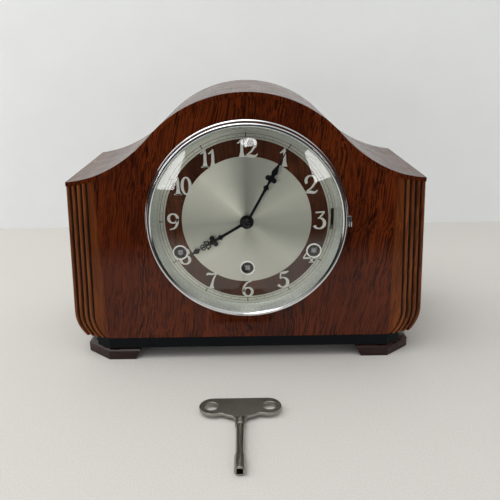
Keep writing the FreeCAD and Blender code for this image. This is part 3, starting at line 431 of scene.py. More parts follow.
def wood(
    name, dark, light, pore, along="Z", coat=0.3, rough=0.34, figure=1.0, pore_share=0.5, pore_scale=620,
    lean=0.0, streak_share=0.5,
):
    """Varnished wood with figure, streaks and dark pores along one axis."""
    material, tree, shader = new_material(name)
    sway = noise(tree, 14, 2, 0.5)
    grain = swaying(tree, sway, grain_stretch, along, lean)
    middle = tuple((d + l) / 2 for d, l in zip(dark, light))
    broad = noise(tree, 42 * figure, 5, 0.6, 0.35, grain)
    colour = ramp(broad, ((0.30, dark), (0.52, middle), (0.72, light)))
    streak = ramp(noise(tree, 190 * figure, 3, 0.6, 0.2, grain), ((0.34, 0.45), (0.60, 1.0)))
    layered = mix(tree, streak_share, colour, streak, "MULTIPLY")
    pores = noise(tree, pore_scale, 3, 0.7, 0.0, swaying(tree, sway, pore_stretch, along, lean))
    patches = ramp(noise(tree, 90, 2, 0.55, 0.0, grain), ((0.32, 0.55), (0.58, 1.0)))
    mask = mix(tree, 1.0, ramp(pores, ((0.45, 1.0), (0.53, 0.0))), patches, "MULTIPLY")
    faded = mix(tree, 1.0, mask, (pore_share,) * 3, "MULTIPLY")
    put(mix(tree, faded, layered, pore), shader, "Base Color")
    roughened(shader, noise(tree, 60, 3), rough, 0.85, 1.2)
    tune(shader, Specular_IOR_Level=0.02, Coat_Weight=coat, Coat_Roughness=0.07)
    bumped(shader, faded, -0.25, pore_depth)
    return material


def board(name, dark, light):
    """Unvarnished plywood or softwood inside and at the back."""
    return wood(name, dark, light, tuple(c * 0.4 for c in dark), coat=0.05, rough=0.6)


def metal(name, colour, rough, wear=0.15, scale=300, brushed=(1, 1, 1)):
    """Metal with a cloudy tarnish and fine scratches."""
    material, tree, shader = new_material(name)
    tune(shader, Metallic=1.0)
    tarnished = tuple(c * (1 - wear * 2) for c in colour)
    coloured(shader, noise(tree, 70, 4, 0.6), (0.32, tarnished), (0.60, colour))
    scratch = noise(tree, scale, 3, 0.7, 0.0, mapped(tree, brushed))
    roughened(shader, scratch, rough, 1 - wear, 1 + wear)
    bumped(shader, scratch, 0.06, scratch_depth)
    return material


def chrome():
    """Polished plating with a faint haze."""
    material, tree, shader = new_material("polished_chrome")
    tune(shader, Metallic=1.0)
    coloured(shader, noise(tree, 55, 4, 0.6), (0.35, (0.70, 0.71, 0.72)), (0.6, (0.80, 0.81, 0.82)))
    haze = noise(tree, 420, 5, 0.7)
    put(ramp(haze, ((0.35, 0.045), (0.75, 0.14))), shader, "Roughness")
    bumped(shader, haze, 0.02, haze_depth)
    return material


def satin(name, colour, rough, metallic):
    """Dull plated metal with a fine even grain."""
    material, tree, shader = new_material(name)
    tune(shader, Metallic=metallic)
    grain = noise(tree, 1600, 3, 0.6)
    coloured(shader, grain, (0.3, tuple(c * 0.95 for c in colour)), (0.7, colour))
    roughened(shader, grain, rough, 0.9, 1.1)
    return material


def brushed_sheen(unit):
    """Painted highlight and shade: light and dark wedges painted into the colour by the direction from the
    centre, where lamps on round brushing would give them.
    """
    tree = unit.id_data
    parts = split(unit)
    angle = add(tree, "Math", operation="ARCTAN2")
    put(parts, angle, 0, "X")
    put(parts, angle, 1, "Z")
    around = add(tree, "MapRange", From_Min=-pi, From_Max=pi)
    put(angle, around)
    return ramp(around, painted_disc_sheen)


def silvered(name, colour, rough):
    """Silvered dial metal, brushed round the dial's centre, with painted light and dark sheen wedges in its
    colour.
    """
    material, tree, shader = new_material(name)
    away = vector("SUBTRACT", add(tree, "TexCoord"), tuple(dial_centre), "Object")
    flat = vector("MULTIPLY", away, (1, 0, 1))
    unit = vector("NORMALIZE", flat)
    rings = add(tree, "TexNoise", noise_dimensions="1D", Scale=brush_rings, Detail=2)
    put(vector("LENGTH", flat), rings, "W", "Value")
    rays = noise(tree, 1.1, 2, 0.5, 0.0, unit)
    tone = ramp(rays, ((0.30, tuple(c * 0.92 for c in colour)), (0.70, colour)))
    # Painted sheen: light and dark wedges multiplied into the silver's colour
    painted_sheen = mix(tree, 1.0, tone, brushed_sheen(unit), "MULTIPLY")
    fine = ramp(rings, ((0.3, 0.92), (0.7, 1.0)))
    put(mix(tree, 1.0, painted_sheen, fine, "MULTIPLY"), shader, "Base Color")
    roughened(shader, rings, rough, 0.85, 1.15)
    put(vector("CROSS_PRODUCT", unit, (0, 1, 0)), shader, "Tangent")
    tune(shader, Metallic=0.45, Anisotropic=0.9)
    bumped(shader, rings, 0.05, haze_depth)
    return material


def crystal():
    """Clear glass that lets light through to the dial."""
    material, tree, shader = new_material("clear_crystal")
    tune(shader, Roughness=0.0, Transmission_Weight=1.0, IOR=1.47)
    coloured(shader, noise(tree, 35, 5, 0.6), (0.4, (1, 1, 1)), (0.8, (0.975, 0.98, 0.975)))
    path = add(tree, "LightPath")
    lit = add(tree, "Math", operation="MAXIMUM")
    put(path, lit, 0, "Is Shadow Ray")
    put(path, lit, 1, "Is Diffuse Ray")
    either(lit, shader, add(tree, "BsdfTransparent"))
    return material


def lacquer(name, colour, rough, coat, speck=0.06, shine=0.5):
    """Painted or blued surface with faint unevenness and dust; also the dark painted shade of grooves and
    slots.
    """
    material, tree, shader = new_material(name)
    cloud = noise(tree, 130, 5, 0.65)
    dusty = tuple(c + speck * 0.25 for c in colour)
    coloured(shader, cloud, (0.35, colour), (0.75, dusty))
    roughened(shader, cloud, rough, 0.8, 1.25)
    tune(shader, Specular_IOR_Level=shine, Coat_Weight=coat, Coat_Roughness=0.08)
    bumped(shader, cloud, 0.05, scratch_depth)
    return material


def woods():
    """Each wood's dark and light colours, and the colour of its pores."""
    return {
        "panel_veneer": wood(
            "front_veneer", (0.060, 0.0078, 0.0010), (0.140, 0.0250, 0.0040), (0.010, 0.0016, 0.0006),
            coat=0.42, pore_share=0.9, pore_scale=980, figure=0.8, lean=0.14, streak_share=0.30,
        ),
        "top_veneer": wood(
            "top_veneer", (0.092, 0.040, 0.026), (0.165, 0.080, 0.052), (0.035, 0.014, 0.009), along="Y",
            coat=0.36, rough=0.30, pore_share=0.45, streak_share=0.6,
        ),
        "reed_wood": wood("reed_wood", (0.100, 0.024, 0.0055), (0.290, 0.090, 0.026), (0.02, 0.006, 0.002)),
        "side_veneer": wood(
            "side_veneer", (0.054, 0.0078, 0.0016), (0.150, 0.0320, 0.0060), (0.014, 0.003, 0.001),
            coat=0.35, rough=0.36, pore_scale=560, pore_share=0.7,
        ),
        "back_board": board("back_board", (0.10, 0.050, 0.024), (0.21, 0.115, 0.058)),
        "inner_board": board("inner_board", (0.22, 0.13, 0.066), (0.36, 0.235, 0.125)),
        "foot_wood": wood(
            "foot_mahogany", (0.012, 0.0042, 0.0030), (0.060, 0.0220, 0.0150), (0.004, 0.0015, 0.001),
            along="X", coat=0.55, rough=0.3, pore_share=0.75, pore_scale=900,
        ),
        "ring_veneer": wood(
            "ring_veneer", (0.034, 0.0085, 0.0026), (0.084, 0.0257, 0.0086), (0.009, 0.003, 0.002),
            coat=0.1, rough=0.4, pore_scale=600,
        ),
        "cheek": wood("cheek_wood", (0.080, 0.0165, 0.0035), (0.230, 0.062, 0.0135), (0.022, 0.005, 0.002)),
    }


def metals_and_paints():
    """Metals, glass, paints and leather, by colour and roughness, and a dark painted shade for grooves and
    screw slots.
    """
    return {
        "hinge_brass": metal("hinge_brass", (0.66, 0.48, 0.20), 0.30),
        "works_brass": metal("works_brass", (0.72, 0.53, 0.24), 0.30, 0.07, 1500, (1, 1, 0.08)),
        "works_steel": metal("works_steel", (0.46, 0.46, 0.47), 0.32),
        "rod_steel": metal("chime_rod_metal", (0.52, 0.47, 0.38), 0.30, brushed=(0.05, 1, 1)),
        "block_iron": metal("cast_iron", (0.10, 0.10, 0.105), 0.62, 0.25, 700),
        "key_steel": metal("nickel_steel", (0.36, 0.355, 0.315), 0.30, 0.07, 1900),
        "bezel_chrome": chrome(),
        "crystal": crystal(),
        "dial_silver": silvered("silvered_metal", (0.60, 0.61, 0.515), 0.36),
        "reflector": satin("satin_reflector", (0.78, 0.835, 0.77), 0.29, 0.68),
        "grommet": satin("grommet_silver", (0.80, 0.81, 0.77), 0.4, 0.3),
        "numeral": satin("numeral_silver", (0.62, 0.63, 0.565), 0.4, 0.4),
        "plinth_black": lacquer("plinth_lacquer", (0.0018, 0.0032, 0.0042), 0.45, 0.12, 0.008, 0.04),
        "hand_black": lacquer("blued_black", (0.0015, 0.002, 0.003), 0.3, 0.25, 0.006, 0.1),
        # Painted shade: a near-black for the bottoms of the reeds' grooves and the screws' slots
        "groove": lacquer("groove_shade", (0.010, 0.0045, 0.003), 0.6, 0.1),
        "ink": lacquer("printed_ink", (0.012, 0.013, 0.013), 0.5, 0.1),
        "leather": lacquer("hammer_leather", (0.30, 0.20, 0.11), 0.75, 0.0, 0.2),
    }


# Mesh helpers


def linked(name, data):
    thing = bpy.data.objects.new(name, data)
    bpy.context.scene.collection.objects.link(thing)
    return thing


def smoothed(mesh):
    mesh.shade_smooth()
    mesh.set_sharp_from_angle(angle=radians(sharp_angle))


def from_mesh(name, points, faces, material, *others):
    """Object from points and faces; each other material comes with the faces that take it."""
    mesh = bpy.data.meshes.new(name)
    mesh.from_pydata([tuple(p) for p in points], [], faces)
    mesh.materials.append(material)
    for place, (other, marks) in enumerate(others, 1):
        mesh.materials.append(other)
        for index in marks:
            mesh.polygons[index].material_index = place
    mesh.validate()
    mesh.update()
    smoothed(mesh)
    return linked(name, mesh)


def carried(thing, body, stands_for=()):
    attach(thing, body)
    if stands_for:
        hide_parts(*stands_for)
    return thing


def sweep(start, end, steps):
    """Angles in radians at even steps from one angle to another, which are in degrees."""
    return [radians(start + (end - start) * step / steps) for step in range(steps + 1)]


def ring_points(radius, count, y, centre):
    """Points round a circle that faces the front, clockwise from the top."""
    angles = sweep(0, 360, count)[:-1]
    return [(centre.x + radius * sin(angle), y, centre.z + radius * cos(angle)) for angle in angles]


def turned(profile, count, centre):
    """Points of a turned form about an axis along Y, from pairs of radius and depth."""
    rings = (ring_points(max(radius, least_radius), count, y, centre) for radius, y in profile)
    return [point for ring in rings for point in ring]


def bands(rows, count, closed=False):
    """Quads between rows of points that each run round once."""
    faces = []
    for row in range(rows if closed else rows - 1):
        here, there = row * count, (row + 1) % rows * count
        for step in range(count):
            after = (step + 1) % count
            faces.append((here + step, here + after, there + after, there + step))
    return faces


def lathe(name, profile, centre, count, closed, *materials):
    points = turned(profile, count, centre)
    return from_mesh(name, points, bands(len(profile), count, closed), *materials)


def between(a, b, c, d, t):
    """Smooth value at a share of the way between the middle two of four."""
    return 0.5 * (2 * b + (c - a) * t + (2 * a - 5 * b + 4 * c - d) * t**2 + (3 * b - a - 3 * c + d) * t**3)


def smooth(points, per_span=7):
    """Points of three numbers on a smooth line through those given."""
    ends = [points[0], *points, points[-1]]
    line = []
    for index in range(1, len(ends) - 2):
        corners = list(zip(*ends[index - 1 : index + 3]))
        for step in range(per_span):
            line.append(tuple(between(*values, step / per_span) for values in corners))
    return line + [tuple(points[-1])]


def ribbon(line):
    """Outline pairs on each side of a line of places and widths, and its quads."""
    points, faces = [], []
    for index, (x, z, width) in enumerate(line):
        before = line[max(index - 1, 0)]
        after = line[min(index + 1, len(line) - 1)]
        run = Vector((after[0] - before[0], after[1] - before[1]))
        run = run.normalized() if run.length else Vector((0, 1))
        across, up = run.y * width / 2, run.x * width / 2
        points += [(x - across, z + up), (x + across, z - up)]
        if index:
            base = 2 * index
            faces.append((base - 2, base - 1, base + 1, base))
    return points, faces


def arc(x, z, across, up, start, end, thick, thin, steps=20):
    """Curved stroke whose sides are thicker than its top and bottom."""
    line = []
    for angle in sweep(start, end, steps):
        width = thin + (thick - thin) * abs(cos(angle)) ** arc_swelling
        line.append((x + across * cos(angle), z + up * sin(angle), width))
    return line


def dot(x, z, radius, steps=18):
    """Filled round spot, as a stroke that widens and closes again."""
    return [(x, z - radius * cos(angle), 2 * radius * sin(angle)) for angle in sweep(0, 180, steps)]


def scroll(x, z, across, tall, width, steps=22):
    """Thin stroke round an oval."""
    angles = sweep(0, 360, steps)
    return [(x + across * sin(angle), z + tall * cos(angle), width) for angle in angles]


def raised(name, strokes, y_back, y_front, material):
    """Flat strokes in X and Z, raised between two depths, as one piece."""
    points, faces = [], []
    for line in strokes:
        flat, quads = ribbon(line)
        base, count = len(points), len(flat)
        points += [(x, y, z) for y in (y_front, y_back) for x, z in flat]
        faces += [tuple(base + i for i in quad) for quad in quads]
        edge = list(range(0, count, 2)) + list(range(count - 1, 0, -2))
        for here, there in zip(edge, edge[1:] + edge[:1]):
            faces.append((base + here, base + there, base + count + there, base + count + here))
    return from_mesh(name, points, faces, material)


def circle(radius, x, z, count, turn=0.0):
    """Points in X and Z round a circle, from its right."""
    angles = [angle + turn for angle in sweep(0, 360, count)[:-1]]
    return [(x + radius * cos(angle), z + radius * sin(angle)) for angle in angles]


def pierced_plate(name, outer, holes, y_back, y_front, material, round_edge=0.0):
    """Flat plate facing the front, filled between an outline and its holes."""
    drawing = bpy.data.curves.new(name, "CURVE")
    drawing.dimensions = "2D"
    drawing.fill_mode = "BOTH"
    for outline in [outer] + holes:
        spline = drawing.splines.new("POLY")
        spline.points.add(len(outline) - 1)
        for point, (x, z) in zip(spline.points, outline):
            point.co = (x, z, 0, 1)
        spline.use_cyclic_u = True
    drawing.extrude = (y_back - y_front) / 2 - round_edge
    drawing.bevel_depth = round_edge
    drawing.bevel_resolution = 2
    drawing.offset = -round_edge
    holder = linked(name, drawing)
    bpy.context.view_layer.update()
    mesh = bpy.data.meshes.new_from_object(holder.evaluated_get(bpy.context.evaluated_depsgraph_get()))
    bpy.data.objects.remove(holder)
    mesh.transform(Matrix.Translation((0, (y_back + y_front) / 2, 0)) @ Matrix.Rotation(pi / 2, 4, "X"))
    mesh.materials.clear()
    mesh.materials.append(material)
    smoothed(mesh)
    return linked(name, mesh)


def slab(low, high, inset):
    """Box with its edges drawn in, as points and faces."""
    points = []
    for z, inward in ((low.z, inset), (low.z + inset, 0), (high.z - inset, 0), (high.z, inset)):
        for x_end, y_end in ((0, 0), (1, 0), (1, 1), (0, 1)):
            for along, across in ((0, inset), (inset, 0))[:: 1 if x_end == y_end else -1]:
                x = high.x - inward - along if x_end else low.x + inward + along
                y = high.y - inward - across if y_end else low.y + inward + across
                points.append((x, y, z))
    return points, bands(4, 8) + [tuple(range(7, -1, -1)), tuple(range(24, 32))]


def soften(node, width):
    """Small rounded edges on a carried-over solid."""
    thing = frame["nodes"][node]
    weld = thing.modifiers.new("weld", "WELD")
    weld.merge_threshold = weld_gap
    bevel = thing.modifiers.new("round", "BEVEL")
    bevel.width = width
    bevel.segments = 2
    bevel.limit_method = "ANGLE"
    bevel.angle_limit = radians(bevel_angle)
    bevel.harden_normals = True


# Case


def roof_edge(x):
    """Height of the under side of the top sheet at a distance from the middle."""
    reach = arch_radius + hollow_radius
    up = shoulder_height - dial_height
    span = hypot(shoulder_half_width, up)
    spread = acos((span**2 + reach**2 - hollow_radius**2) / (2 * span * reach))
    lean = atan2(shoulder_half_width, up) - spread
    centre_x = reach * sin(lean)
    centre_z = dial_height + reach * cos(lean)
    hollow = hollow_radius + roof_thickness
    return centre_z - sqrt(max(hollow**2 - (centre_x - x) ** 2, 0))


def side_line():
    """The side's outline: its straight run by shares of height, then the curve in to the plinth."""
    start_z = plinth_top + foot_curve_rise
    lean = atan(flare / (shoulder_height - start_z))
    centre_x = flare - foot_curve_radius * cos(lean)
    centre_z = start_z - foot_curve_radius * sin(lean)
    turn = asin((centre_z - plinth_top) / foot_curve_radius)
    straight = [(flare * step / straight_rows, step / straight_rows) for step in range(straight_rows + 1)]
    curve = []
    for angle in sweep(-degrees(lean), degrees(turn), foot_curve_rows)[1:]:
        reach, drop = foot_curve_radius * cos(angle), foot_curve_radius * sin(angle)
        curve.append((centre_x + reach, centre_z - drop))
    return straight, curve, start_z


def reed_plan():
    """Plan of the right-hand moulding, with a mark for each groove and for the cheek."""
    inner = panel_half_width - flare
    first = shoulder_half_width - reed_count * reed_pitch
    groove = groove_share * reed_pitch
    half_reed = (reed_pitch - groove) / 2
    plan = [(inner, front + cheek_recess, "cheek"), (first, front + cheek_recess, "cheek")]
    for reed in range(reed_count):
        left = first + reed * reed_pitch
        depth = front + cheek_recess + reed_rise + reed * reed_step
        plan.append((left, depth, "groove"))
        plan.append((left + groove / 2, depth + reed_rise * groove_dip_share, "groove"))
        for angle in sweep(0, 180, reed_segments):
            across = left + groove + half_reed * (1 - cos(angle))
            plan.append((across, depth - reed_rise * sin(angle) ** reed_fullness, "reed"))
    return plan + [(x, front + panel_thickness, "reed") for x in (shoulder_half_width, inner)]


def reeded_moulding(side, materials):
    """Four rounded reeds that run down the case's corner and in under it, with dark painted shade on their
    groove faces.
    """
    plan = reed_plan()
    straight, curve, start_z = side_line()
    points, faces, groove_shade_faces, cheeks = [], [], [], []
    rows = len(straight) + len(curve)
    for x, y, _ in plan:
        top = roof_edge(min(x, shoulder_half_width))
        column = [(offset, top + (start_z - top) * share) for offset, share in straight] + curve
        points += [(side * max(x + offset, panel_half_width), y, z) for offset, z in column]
    for index, (_, _, kind) in enumerate(plan):
        after = (index + 1) % len(plan)
        for row in range(rows - 1):
            if kind == "groove":
                groove_shade_faces.append(len(faces))
            elif kind == plan[after][2] == "cheek":
                cheeks.append(len(faces))
            near, far = index * rows + row, after * rows + row
            faces.append((near, near + 1, far + 1, far)[::side])
    faces.append(tuple(i * rows for i in range(len(plan)))[::-side])
    faces.append(tuple(i * rows + rows - 1 for i in range(len(plan)))[::side])
    hand = "right" if side > 0 else "left"
    # The groove faces take the groove material: painted shade for the dark at the bottom of each groove
    reeds = from_mesh(
        f"reeds_{hand}", points, faces, materials["reed_wood"], (materials["groove"], groove_shade_faces),
        (materials["cheek"], cheeks),
    )
    return carried(reeds, "case", (f"reeded_moulding_{hand}",))


# Dial


def numeral_strokes():
    """Strokes of each figure in a box one high, as places and widths."""
    one = [
        smooth([(0.07, 0.97, 0.04), (0.05, 0.72, 0.11), (0.05, 0.30, 0.13), (0.04, 0.0, 0.24)]),
        smooth([(-0.20, 0.74, 0.04), (-0.07, 0.82, 0.07), (0.07, 0.99, 0.05)]),
    ]
    return {
        "0": [arc(0, 0.5, 0.22, 0.47, 0, 360, 0.13, 0.06, 36)],
        "1": one,
        "footed 1": one + [[(-0.17, 0.025, 0.05), (0.25, 0.025, 0.05)]],
        "2": [
            arc(0.0, 0.70, 0.27, 0.28, 215, -32, 0.12, 0.06, 26),
            [(0.225, 0.56, 0.10), (0.05, 0.30, 0.07), (-0.30, 0.04, 0.05)],
            smooth([(-0.32, 0.04, 0.06), (-0.05, 0.06, 0.13), (0.22, 0.03, 0.09), (0.38, 0.16, 0.04)]),
        ],
        "3": [
            [(-0.25, 0.93, 0.06), (0.26, 0.96, 0.07)],
            [(0.25, 0.95, 0.06), (0.10, 0.77, 0.07), (-0.05, 0.60, 0.07)],
            arc(-0.03, 0.30, 0.30, 0.31, 105, -155, 0.14, 0.06, 26),
        ],
        "4": [
            [(0.10, 1.0, 0.05), (-0.34, 0.30, 0.06)],
            [(-0.36, 0.28, 0.08), (0.38, 0.28, 0.08)],
            [(0.14, 1.0, 0.08), (0.14, 0.0, 0.12)],
            [(-0.02, 0.025, 0.05), (0.30, 0.025, 0.05)],
        ],
        "5": [
            smooth([(-0.14, 0.90, 0.06), (0.08, 0.91, 0.12), (0.33, 1.0, 0.04)]),
            [(-0.12, 0.92, 0.07), (-0.16, 0.56, 0.06)],
            arc(-0.01, 0.31, 0.29, 0.30, 125, -150, 0.14, 0.05, 26),
        ],
        "6": [
            arc(0.02, 0.29, 0.25, 0.26, 0, 360, 0.12, 0.06, 32),
            smooth([(-0.25, 0.30, 0.12), (-0.20, 0.62, 0.10), (-0.02, 0.86, 0.07), (0.25, 0.97, 0.04)]),
        ],
        "7": [
            smooth([(-0.30, 0.80, 0.04), (-0.22, 0.90, 0.10), (0.05, 0.88, 0.08), (0.32, 0.99, 0.05)]),
            smooth([(0.30, 0.97, 0.05), (0.10, 0.62, 0.08), (-0.02, 0.22, 0.12), (-0.05, 0.0, 0.24)]),
        ],
        "8": [
            arc(0.0, 0.75, 0.20, 0.21, 0, 360, 0.12, 0.06, 30),
            arc(0.0, 0.28, 0.26, 0.26, 0, 360, 0.13, 0.06, 32),
        ],
        "9": [
            arc(-0.02, 0.70, 0.25, 0.26, 0, 360, 0.12, 0.06, 32),
            smooth([(0.23, 0.68, 0.12), (0.19, 0.36, 0.10), (0.03, 0.13, 0.07), (-0.24, 0.05, 0.04)]),
        ],
    }


def placed_strokes(strokes, x, z, height):
    """Strokes of a figure moved to a place and given a height."""
    return [
        [(x + px * height, z + (pz - 0.5) * height, width * height * stroke_weight) for px, pz, width in line]
        for line in strokes
    ]


def divided(line, longest):
    """The stroke with points added, so that no run is longer than a length."""
    fine = [line[0]]
    for here, there in zip(line, line[1:]):
        run = hypot(there[0] - here[0], there[1] - here[1])
        steps = max(1, ceil(run / longest))
        for step in range(1, steps + 1):
            fine.append(tuple(a + (b - a) * step / steps for a, b in zip(here, there)))
    return fine


def on_dial(reach, angle):
    """Place at a reach from the dial's centre and an angle clockwise from the top."""
    return reach * sin(angle), dial_height + reach * cos(angle)


def near_grommet(x, z):
    return min(hypot(x - place[0], z - place[1]) for place in winding_places()) < grommet_cover


def in_lever_slot(x, z):
    return abs(x - slot_place) < slot_half_width and -slot_bottom < z - dial_height < slot_top


def clear_of(strokes, covered):
    """Parts of the strokes that lie outside a covered area."""
    kept = []
    for line in strokes:
        part = []
        for point in divided(line, longest_run):
            if not covered(point[0], point[1]):
                part.append(point)
                continue
            if len(part) > 1:
                kept.append(part)
            part = []
        if len(part) > 1:
            kept.append(part)
    return kept


def hour_numerals(material):
    """Raised silvered numerals, one to twelve, standing upright round the ring."""
    shapes = numeral_strokes()
    pairs = {10: ("footed 1", "0", 0.50), 11: ("footed 1", "1", 0.42), 12: ("1", "2", 0.52)}
    strokes = []
    for hour in range(1, 13):
        x, z = on_dial(numeral_circle, full_turn * hour / 12)
        *figures, gap = pairs.get(hour, (str(hour), 0))
        for index, figure in enumerate(figures):
            across = x + (index - (len(figures) - 1) / 2) * gap * numeral_height
            strokes += placed_strokes(shapes[figure], across, z, numeral_height)
    strokes = clear_of(strokes, near_grommet)
    numerals = raised("hour_numerals", strokes, veneer_face, veneer_face - numeral_rise, material)
    return carried(numerals, "case")


def minute_track(material):
    """Printed circles, minute dots and hour marks outside the numeral ring."""
    strokes = []
    for radius in (track_inner, track_outer):
        strokes.append(arc(0, dial_height, radius, radius, 0, 360, track_line, track_line, track_segments))
    middle = (track_inner + track_outer) / 2
    for minute in range(60):
        angle = full_turn * minute / 60
        if minute % 5:
            strokes.append(dot(*on_dial(middle, angle), minute_dot_radius, minute_dot_steps))
        else:
            ends = (hour_mark_start, hour_mark_end)
            strokes.append([(*on_dial(reach, angle), hour_mark_width) for reach in ends])
    strokes = clear_of(strokes, in_lever_slot)
    return carried(raised("minute_track", strokes, dial_face, dial_face - print_thickness, material), "case")


def winding_places():
    x, z = on_dial(winding_circle, radians(winding_angle))
    return [(0, dial_height - middle_winding_drop), (-x, z), (x, z)]


def centre_disc(material):
    """Silvered centre, level with the veneered ring."""
    arbor_hole = circle(arbor_hole_radius, 0, dial_height, hole_segments)
    holes = [arbor_hole, circle(grommet_inner, *winding_places()[0], hole_segments)]
    outer = circle(disc_radius, 0, dial_height, disc_segments)
    disc = pierced_plate("centre_disc", outer, holes, dial_face, veneer_face, material)
    return carried(disc, "case")


def grommets(material):
    """Rounded rings round the winding holes."""
    middle = (grommet_outer + grommet_inner) / 2
    half = (grommet_outer - grommet_inner) / 2
    profile = []
    for angle in sweep(0, 180, grommet_segments):
        rise = grommet_rise * sin(angle) ** grommet_fullness
        profile.append((middle + half * cos(angle), veneer_face - rise))
    profile.append((grommet_inner, dial_face + grommet_sink))
    for name, (x, z) in zip(("middle", "left", "right"), winding_places()):
        centre = Vector((x, 0, z))
        ring = lathe(f"winding_grommet_{name}", profile, centre, grommet_round_segments, False, material)
        carried(ring, "case")


# Hands


def turned_strokes(strokes, heading, length):
    """Strokes along a hand, turned clockwise about the dial's centre."""
    angle = radians(heading)
    sine, cosine = length * sin(angle), length * cos(angle)
    return [
        [
            (up * sine + side * cosine, dial_height + up * cosine - side * sine, width * length)
            for side, up, width in line
        ]
        for line in strokes
    ]


def stem(*steps):
    """Smooth stroke along a hand's middle, from pairs of place and width."""
    return smooth([(0, up, width) for up, width in steps])


def both_sides(stroke, side, *sizes):
    return [stroke(-side, *sizes), stroke(side, *sizes)]


def flat_hand(body, look, strokes, heading, length, boss, material):
    """Hand from strokes along its length, with a round boss, in the depth of its solid."""
    node = f"{body}_hand"
    low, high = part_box(node)
    strokes = turned_strokes(strokes, heading, length) + [dot(0, dial_height, *boss)]
    return carried(raised(f"{node}_{look}", strokes, high.y, low.y, material), body, (node,))


def hour_hand(material):
    """Pierced hand: stem, knop, trefoil, two pairs of scrolls, leaf and point."""
    strokes = [
        stem((0.07, 0.044), (0.40, 0.040), (0.445, 0.085), (0.485, 0.036), (0.53, 0.044)),
        *both_sides(dot, 0.050, 0.562, 0.038),
        dot(0, 0.60, 0.036),
        [(0, 0.53, 0.05), (0, 0.60, 0.05), (0, 0.64, 0.026)],
        *both_sides(scroll, 0.030, 0.672, 0.024, 0.034, 0.018),
        *both_sides(scroll, 0.022, 0.752, 0.018, 0.026, 0.015),
        *both_sides(dot, 0.062, 0.690, 0.012),
        stem((0.62, 0.014), (0.78, 0.014), (0.81, 0.026), (0.86, 0.086), (0.925, 0.026), (1.0, 0.006)),
    ]
    return flat_hand("hour", "pierced", strokes, hour_angle, hour_hand_length, hour_boss, material)


def minute_hand(material):
    """Slender hand: stem, knop, trefoil, leaf and long point."""
    strokes = [
        stem((0.05, 0.034), (0.42, 0.032), (0.466, 0.072), (0.512, 0.024), (0.56, 0.034)),
        *both_sides(dot, 0.040, 0.588, 0.030),
        dot(0, 0.618, 0.026),
        [(0, 0.55, 0.04), (0, 0.62, 0.034)],
        stem((0.62, 0.020), (0.635, 0.030), (0.675, 0.070), (0.77, 0.022), (0.88, 0.013), (1.0, 0.006)),
    ]
    return flat_hand("minute", "slender", strokes, minute_angle, minute_hand_length, minute_boss, material)


def hand_nut(material):
    """Domed nut with a narrow flange."""
    low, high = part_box("hand_nut")
    radius = (high.x - low.x) / 2
    tall = high.y - low.y
    shares = list(nut_flange)
    for angle in sweep(0, 90, nut_segments):
        shares.append((nut_dome_radius * cos(angle), nut_dome_start + (1 - nut_dome_start) * sin(angle)))
    profile = [(radius * out, high.y - tall * rise) for out, rise in shares]
    nut = lathe("domed_hand_nut", profile, dial_centre, nut_round_segments, False, material)
    return carried(nut, "minute", ("hand_nut",))


# Bezel


def bezel_profile():
    """Section of the bezel: flange, rounded front, lip, inner reflector and back."""
    seat = front - bezel_gap
    start = seat - crest_start
    crest = front - bezel_height
    profile = [(bezel_radius + out * mm, seat - rise * mm) for out, rise in flange_steps]
    for angle in sweep(0, 90, crest_segments):
        radius = crest_radius + crest_round * cos(angle)
        profile.append((radius, start - (start - crest) * sin(angle)))
    profile += [(lip_radius + out * mm, crest + drop * mm) for out, drop in lip_steps]
    profile += [(reflector_radius + out * mm, dial_face - rise * mm) for out, rise in reflector_steps]
    return profile + [(lip_radius - lip_wall, seat)]


def bezel(materials):
    """Polished ring with a satin reflector inside and its hinge lug on the right."""
    plating = materials["bezel_chrome"]
    profile = bezel_profile()
    first = len(profile) - len(reflector_steps) - 2
    satin_faces = range(first * bezel_segments, (first + 2) * bezel_segments)
    inside = (materials["reflector"], satin_faces)
    ring = lathe("polished_bezel", profile, dial_centre, bezel_segments, True, plating, inside)
    axis_y = front - lug_depth
    low = Vector((bezel_radius - lug_overlap, axis_y - lug_half_thickness, dial_height + lug_bottom))
    high = Vector((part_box("bezel_ring")[1].x, axis_y + lug_half_thickness, dial_height + lug_top))
    lug = from_mesh("bezel_hinge_lug", *slab(low, high, lug_edge), plating)
    carried(lug, "bezel")
    return carried(ring, "bezel", ("bezel_ring",))


def domed_glass(material):
    """The glass of the bezel, with enough segments for clean reflections."""
    low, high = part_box("dial_glass")
    radius = (high.x - low.x) / 2
    rise = high.y - low.y - glass_thickness
    dome = (radius**2 + rise**2) / (2 * rise)
    reaches = [radius * step / glass_steps for step in range(glass_steps + 1)]
    outside = [(reach, low.y + dome - sqrt(dome**2 - reach**2)) for reach in reaches]
    inside = [(reach, y + glass_thickness) for reach, y in reversed(outside)]
    glass = lathe("domed_glass", outside + inside, dial_centre, bezel_segments, False, material)
    return carried(glass, "bezel", ("dial_glass",))


# Key


def key_outline(half, back_edge, place):
    """Outline of the two wings and the web that draws them in to the neck."""
    wing = key_wing_radius
    side = []
    for angle in sweep(90, 90 - key_wing_turn, key_wing_segments):
        side.append((half - wing + wing * cos(angle), back_edge - wing + wing * sin(angle)))
    web = [
        (half - wing - key_web_start, back_edge - 2 * wing + key_web_rise),
        (half * key_web_middle, back_edge - 2 * wing - key_web_dip),
        (key_neck_half + key_neck_flare, back_edge - key_neck_start),
        (key_neck_half, back_edge - key_neck_end),
    ]
    side += [(x, y) for x, y, _ in smooth([(x, y, 0) for x, y in [side[-1]] + web], 4)][1:]
    return [(place + x, y) for x, y in side] + [(place - x, y) for x, y in reversed(side)]


